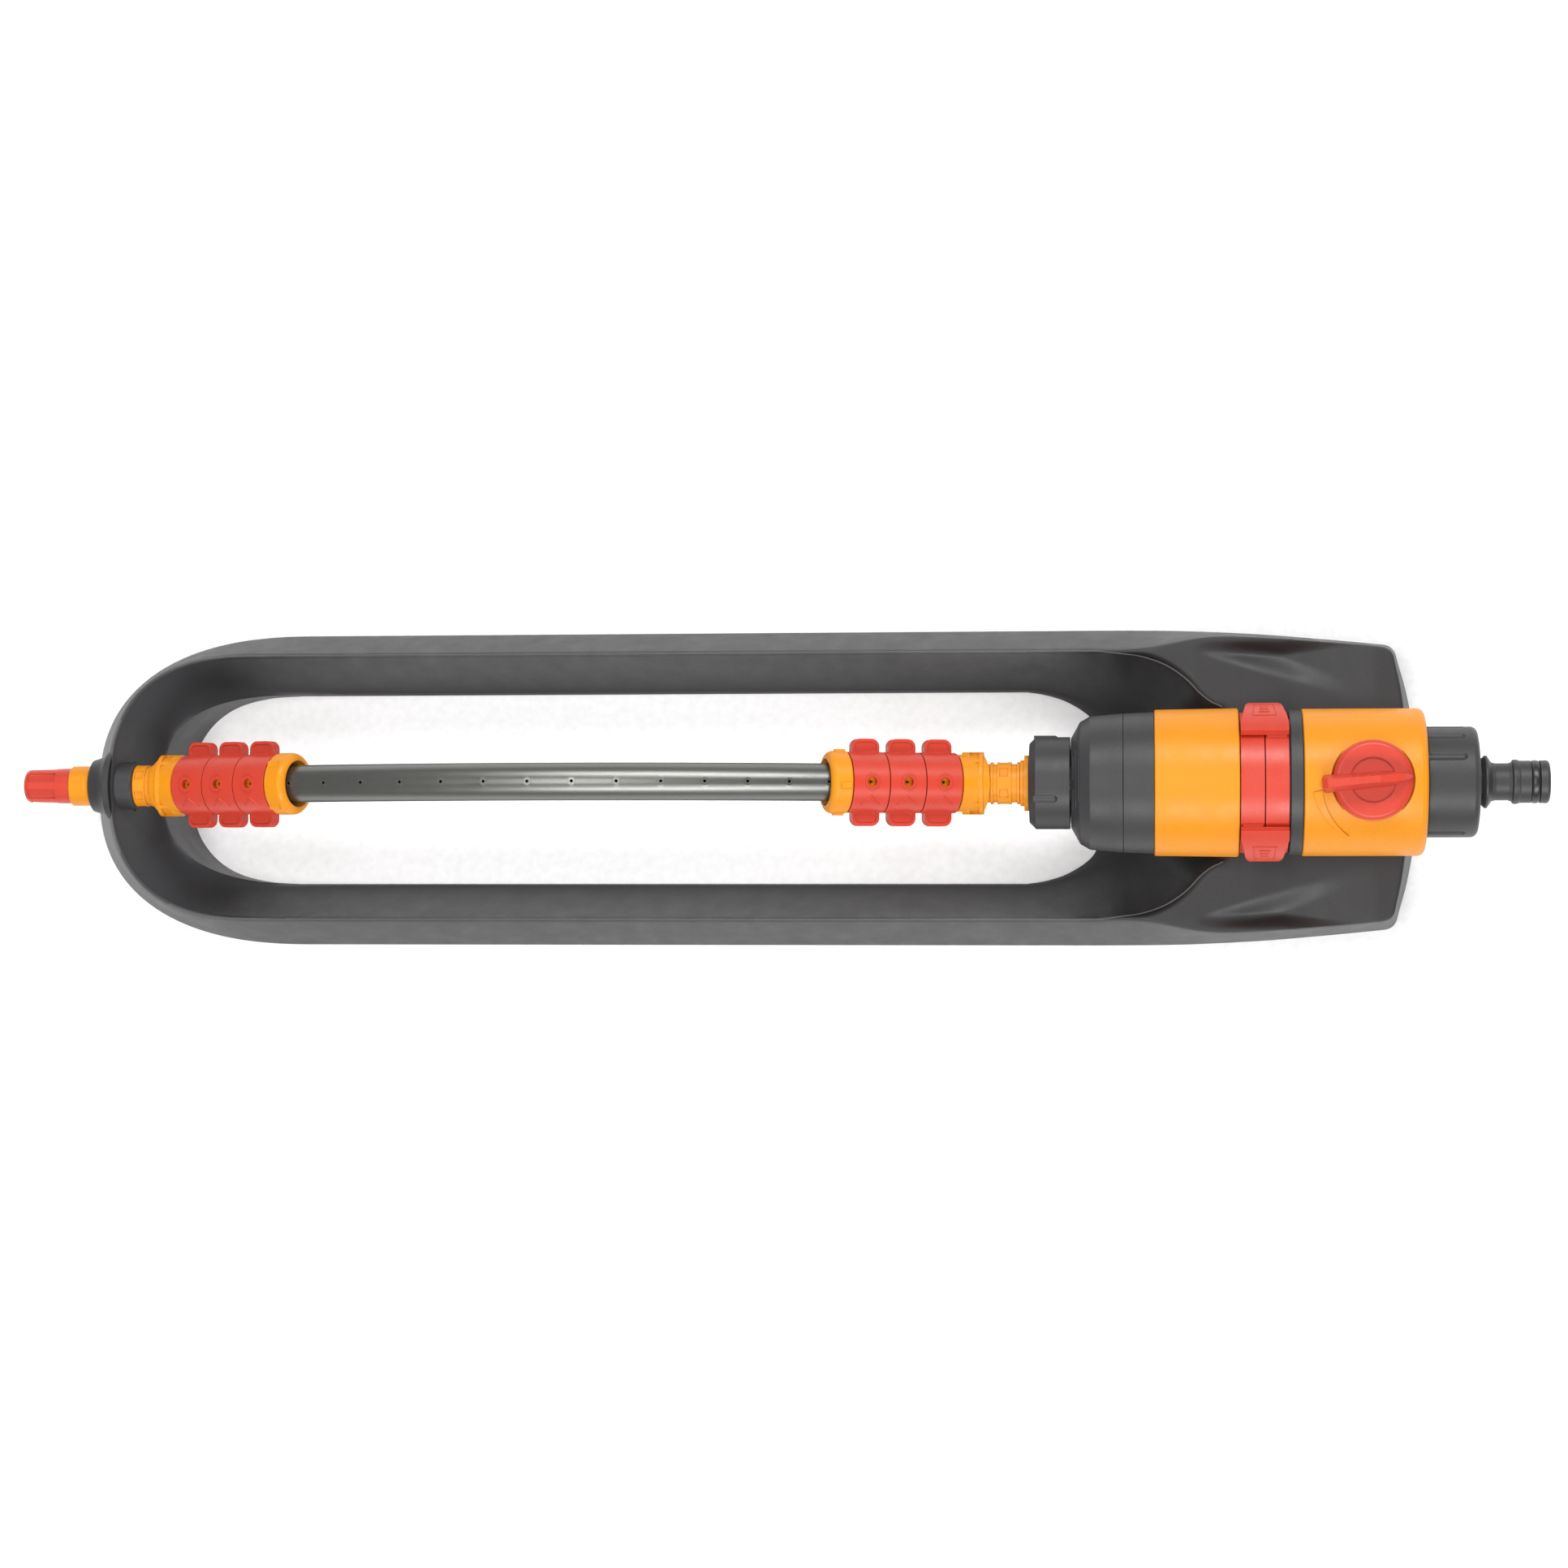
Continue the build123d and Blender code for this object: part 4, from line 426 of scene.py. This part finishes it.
def grid_piece(layers):
    """Points and faces of a loop of layers over the stations, mirrored to both sides."""
    count = len(layers[0][0])
    order = [(k, 1) for k in range(count)] + [(k, -1) for k in range(count - 2, 0, -1)]
    points, faces = [], []
    for plan, z in layers:
        points += [(plan[k][0], plan[k][1] * side, z[k]) for k, side in order]
    loop, deep = len(order), len(layers)
    for i in range(deep):
        for j in range(loop):
            a, b = i * loop, (i + 1) % deep * loop
            n = (j + 1) % loop
            faces.append((a + j, a + n, b + n, b + j))
    return points, faces


def build_sled():
    """The moulded skin that stands in for the plain CAD sled."""
    sled = Sled()
    points, faces = sled_mesh(sled)
    piece = add_mesh("sled_shell", points, faces, "frame", "dark_plastic", auto_angle=50)
    piece.data.materials[0] = SLED_FINISH
    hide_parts("sled_base")
    return sled


SLED = build_sled()


def ring_faces(base, turns, n):
    """Faces of a closed ring of turns sections, n points each, numbered from base."""
    faces = []
    for k in range(turns):
        a, b = base + k * n, base + (k + 1) % turns * n
        faces += [(a + j, b + j, b + (j + 1) % n, a + (j + 1) % n) for j in range(n)]
    return faces


def lathe(name, profile, body, finish, turns=96, angle=30):
    """Closed ring turned about the main axis from (x, radius) points."""
    points = []
    for k in range(turns):
        swing = 2 * math.pi * k / turns
        points += [(x, r * math.sin(swing), AXIS_Z + r * math.cos(swing)) for x, r in profile]
    faces = ring_faces(0, turns, len(profile))
    return add_mesh(name, points, faces, body, finish, auto_angle=angle)


def bearing_boss():
    """Flared boss on the nose and the bearing hood round the arm's neck."""
    bore = 7.6
    profile = [(-261.5, bore), (-261.5, 9.2), (-261.0, 9.9), (-259.5, 10.3), (-257.5, 11.0),
               (-256.0, 11.9), (-254.8, 13.2), (-252.5, 13.2), (-252.5, 9.1), (-245.4, 9.0),
               (-244.8, 8.6), (-244.6, 8.0), (-244.8, bore)]
    return lathe("nose_bearing_boss", profile, "frame", "dark_plastic")


bearing_boss()


# ---------------------------------------------------------------- under the sled
RIB_HALF = 1.1
RIB_FOOT = 2.0                     # underside of the ribs
RIB_SINK = 0.8                     # how far a rib's top enters the skin
RIB_LOWEST = 7.0


def sled_height(x, y, skin=0.0):
    """Height of the sled's skin at one plan position."""
    return float(SLED.height(np.array([x], float), np.array([abs(y)], float), skin)[0])


def bar_faces(base, sections, n):
    """Faces of a closed bar of sections, n points each, numbered from base."""
    faces = []
    for k in range(sections - 1):
        a, b = base + n * k, base + n * (k + 1)
        faces += [(a + j, a + (j + 1) % n, b + (j + 1) % n, b + j) for j in range(n)]
    last = base + n * (sections - 1)
    faces.append(tuple(base + j for j in range(n - 1, -1, -1)))
    faces.append(tuple(last + j for j in range(n)))
    return faces


def stretches(places, lowest):
    """Runs of two or more (plan, top) places whose top is above the lowest."""
    runs, run = [], []
    for plan, top in places:
        if top > lowest:
            run.append((plan, top))
        else:
            runs.append(run)
            run = []
    return [run for run in runs + [run] if len(run) > 1]


def rib_plate(points, faces, start, end, steps=26):
    """An upright moulded rib under the skin along a plan line."""
    a, b = np.array(start, float), np.array(end, float)
    across = np.array([-(b - a)[1], (b - a)[0]]) / np.linalg.norm(b - a) * RIB_HALF
    plans = [a + (b - a) * share for share in np.linspace(0, 1, steps)]
    places = [(plan, sled_height(*plan, SLED_SKIN) + RIB_SINK) for plan in plans]
    for run in stretches(places, RIB_LOWEST):
        base = len(points)
        for plan, top in run:
            for side, z in ((-1, RIB_FOOT), (1, RIB_FOOT), (1, top), (-1, top)):
                points.append((plan[0] + across[0] * side, plan[1] + across[1] * side, z))
        faces += bar_faces(base, len(run), 4)


def under_ribs():
    """Stiffening ribs under the rails and the deck."""
    points, faces = [], []
    for x in (-150, -80, -10, 60, 110):
        for side in (1, -1):
            rib_plate(points, faces, (x, side * 39.5), (x, side * 58.5))
    for x in (152, 197):
        rib_plate(points, faces, (x, -56), (x, 56), 60)
    rib_plate(points, faces, (140, 0), (236, 0), 40)
    return add_mesh("sled_under_ribs", points, faces, "frame", "dark_plastic", auto_angle=30)


def screw_towers():
    """Hollow towers that the motor screws pass up, open below."""
    points, faces = [], []
    turns = 40
    top = AXIS_Z - TROUGH_R - 1.0
    outline = ((5.5, 8.0), (5.5, top), (2.2, top), (2.2, 14.0), (4.3, 14.0), (4.3, 8.0))
    for x, y in ((137.4, 13.0), (137.4, -13.0), (228.0, 13.0), (228.0, -13.0)):
        base = len(points)
        for k in range(turns):
            swing = 2 * math.pi * k / turns
            points += [(x + r * math.cos(swing), y + r * math.sin(swing), z) for r, z in outline]
        faces += ring_faces(base, turns, len(outline))
    return add_mesh("sled_screw_towers", points, faces, "frame", "dark_plastic", auto_angle=30)


under_ribs()
screw_towers()


# ---------------------------------------------------------------- raised trim
ARM_MIDDLE_X = -77.5
ROOT_SPAN = 156.2                  # from the arm's middle to the root of a jet block
TILT = math.radians(20)            # of the jet blocks
RING_S = (17.5, 31.5, 45.5)        # shutter rings along a block
RING_R = 11.3
TAB_R = 30.0
TAB_X = 183.2


def ridge(points, faces, path, outward, width, height, sink=0.08):
    """A low rounded ridge along a path of points, with the outward direction at each."""
    base = len(points)
    for k, (place, out) in enumerate(zip(path, outward)):
        ahead = path[min(k + 1, len(path) - 1)] - path[max(k - 1, 0)]
        side = ahead.cross(out).normalized() * (width / 2)
        points += [place - side - out * sink, place - side * 0.55 + out * height * 0.8,
                   place + out * height, place + side * 0.55 + out * height * 0.8,
                   place + side - out * sink]
    faces += bar_faces(base, len(path), 5)


def block_point(side, s, radius, swing):
    """A point on a jet block's ring and its outward direction; swing from the top towards +Y."""
    along = Vector((-side * math.cos(TILT), 0, math.sin(TILT)))
    up = Vector((side * math.sin(TILT), 0, math.cos(TILT)))
    root = Vector((ARM_MIDDLE_X + side * ROOT_SPAN, 0, AXIS_Z))
    out = up * math.cos(swing) + Vector((0, 1, 0)) * math.sin(swing)
    return root + along * s + out * radius, out


def main_point(x, radius, swing):
    """A point round the main axis and its outward direction."""
    out = Vector((0, math.sin(swing), math.cos(swing)))
    return Vector((x, 0, AXIS_Z)) + out * radius, out


def ridge_between(points, faces, place, start, end, width, height, steps=10):
    """A ridge from start to end, both (along, degrees), on a round surface."""
    pairs = []
    for share in np.linspace(0, 1, steps):
        along = start[0] + (end[0] - start[0]) * share
        swing = math.radians(start[1] + (end[1] - start[1]) * share)
        pairs.append(place(along, swing))
    ridge(points, faces, [p for p, _ in pairs], [o for _, o in pairs], width, height)


def chevrons():
    """The fine raised chevron under each shutter hole."""
    for side, side_name in ((-1, "left"), (1, "right")):
        for number, s in enumerate(RING_S):
            points, faces = [], []

            def place(along, swing, side=side):
                return block_point(side, along, RING_R, swing)

            for reach in (3.6, -3.6):
                ridge_between(points, faces, place, (s, -27), (s + reach, -47), 0.6, 0.3)
            body = f"{side_name}_shutter_ring_{number + 1}"
            add_mesh(f"{side_name}_chevron_{number + 1}", points, faces, body, "red_plastic",
                     auto_angle=40)


def range_marks():
    """Framed spray-width mark on each range tab: a trapezoid with three short lines."""
    corners = ((-4.3, 54), (4.3, 54), (3.5, 71), (-3.5, 71))
    outline = list(zip(corners, corners[1:] + corners[:1]))
    bars = [((-half, swing), (half, swing))
            for half, swing in ((2.0, 58.5), (1.7, 62.5), (1.4, 66.5))]
    for body in ("left_range_ring", "right_range_ring"):
        low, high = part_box(body)
        sign = 1 if abs(high.y) > abs(low.y) else -1
        points, faces = [], []

        def place(along, swing, sign=sign):
            return main_point(along, TAB_R, sign * swing)

        for start, end in outline + bars:
            ridge_between(points, faces, place, (TAB_X + start[0], start[1]),
                          (TAB_X + end[0], end[1]), 0.5, 0.3, 6)
        add_mesh(f"{body}_mark", points, faces, body, "red_plastic", auto_angle=40)


def casing_serrations():
    """Short raised grip lines on the casing's nose."""
    points, faces = [], []
    rows = ((113.2, 18.5, ((-34, -8), (2, 30))), (114.2, 20.3, ((-28, 34),)),
            (115.2, 22.0, ((-20, 22),)))
    for x, radius, ranges in rows:
        def place(along, swing, radius=radius):
            return main_point(along, radius, swing)

        for start, end in ranges:
            ridge_between(points, faces, place, (x, start), (x, end), 0.55, 0.35, 24)
    add_mesh("casing_serrations", points, faces, "frame", "dark_plastic", auto_angle=40)


def crest_beads():
    """Fine raised beads along the two edges of the sled's crest, in a finish lighter than the sled
    that paints the crest's highlight.
    """
    points, faces = [], []
    lines = (crease_line(), joined(*top_line()))
    for line, last_x in zip(lines, (170.0, 118.0)):
        for side in (1, -1):
            path = []
            for x, y in even(line, 260):
                if -236 < x < last_x and y > 12:
                    path.append(Vector((x, side * y, sled_height(x, y))))
            ridge(points, faces, path, [Vector((0, 0, 1))] * len(path), 0.9, 0.35)
    piece = add_mesh("crest_beads", points, faces, "frame", "dark_plastic", auto_angle=40)
    # The lighter crest finish is a painted highlight along the crest.
    piece.data.materials[0] = CREST_HIGHLIGHT_FINISH


chevrons()
range_marks()
casing_serrations()
crest_beads()


# ---------------------------------------------------------------- finishes on the CAD nodes
for node_name, slot_name in slot_of_node().items():
    node_object = frame["nodes"][node_name]
    node_object.data.materials.clear()
    finish = "tube_metal" if node_name in TUBE_LIKE else slot_name
    node_object.data.materials.append(FINISHES[finish])


# ---------------------------------------------------------------- stage, light and camera
def floor():
    """Plain pale floor, a gently uneven matte sheet."""
    mesh = bpy.data.meshes.new("studio_floor")
    half = 6.0
    mesh.from_pydata([(-half, -half, 0), (half, -half, 0), (half, half, 0), (-half, half, 0)],
                     [], [(0, 1, 2, 3)])
    sheet = bpy.data.objects.new("studio_floor", mesh)
    bpy.context.scene.collection.objects.link(sheet)
    mesh.materials.append(surface("floor_sheet", (0.93, 0.93, 0.93), 0.75, grain=300.0,
                                  grain_depth=0.02, mottle=0.004, scuff=0.0,
                                  shader={"Specular IOR Level": 0.1}))


def softbox(name, place, aim, size, power):
    """Rectangular soft light aimed at a point."""
    data = bpy.data.lights.new(name, "AREA")
    data.shape = "RECTANGLE"
    data.size, data.size_y = size
    data.energy = power
    light = bpy.data.objects.new(name, data)
    light.location = place
    light.rotation_euler = (Vector(aim) - Vector(place)).to_track_quat("-Z", "Y").to_euler()
    bpy.context.scene.collection.objects.link(light)


def studio():
    """Soft overhead and side lights in pale air."""
    centre = (0.0, 0.0, 0.05)
    softbox("overhead_softbox", (-0.3, 0.0, 2.4), centre, (1.2, 0.5), 18)
    softbox("far_side_softbox", (0.28, 1.25, 1.35), centre, (1.5, 0.5), 28)
    softbox("near_side_softbox", (0.28, -1.25, 1.35), centre, (1.5, 0.5), 28)
    world = bpy.data.worlds.new("studio_air")
    world.use_nodes = True
    world.node_tree.nodes["Background"].inputs[0].default_value = (1, 1, 1, 1)
    world.node_tree.nodes["Background"].inputs[1].default_value = 0.42
    bpy.context.scene.world = world


def camera():
    """The photograph's viewing angle: from above, a little towards the hose end."""
    data = bpy.data.cameras.new("camera")
    data.sensor_width = 36.0
    data.lens = 80.46
    data.clip_end = 50.0
    eye, target = Vector((0.1345, -0.040, 1.374)), Vector((0.0045, 0.0, 0.062))
    back = (eye - target).normalized()
    right = Vector((0, 1, 0)).cross(back).normalized()
    turn = Matrix((right, back.cross(right), back)).transposed().to_4x4()
    rig = bpy.data.objects.new("camera", data)
    rig.matrix_world = Matrix.Translation(eye) @ turn
    bpy.context.scene.collection.objects.link(rig)
    bpy.context.scene.camera = rig


floor()
studio()
camera()
bpy.context.scene.view_settings.view_transform = "Standard"
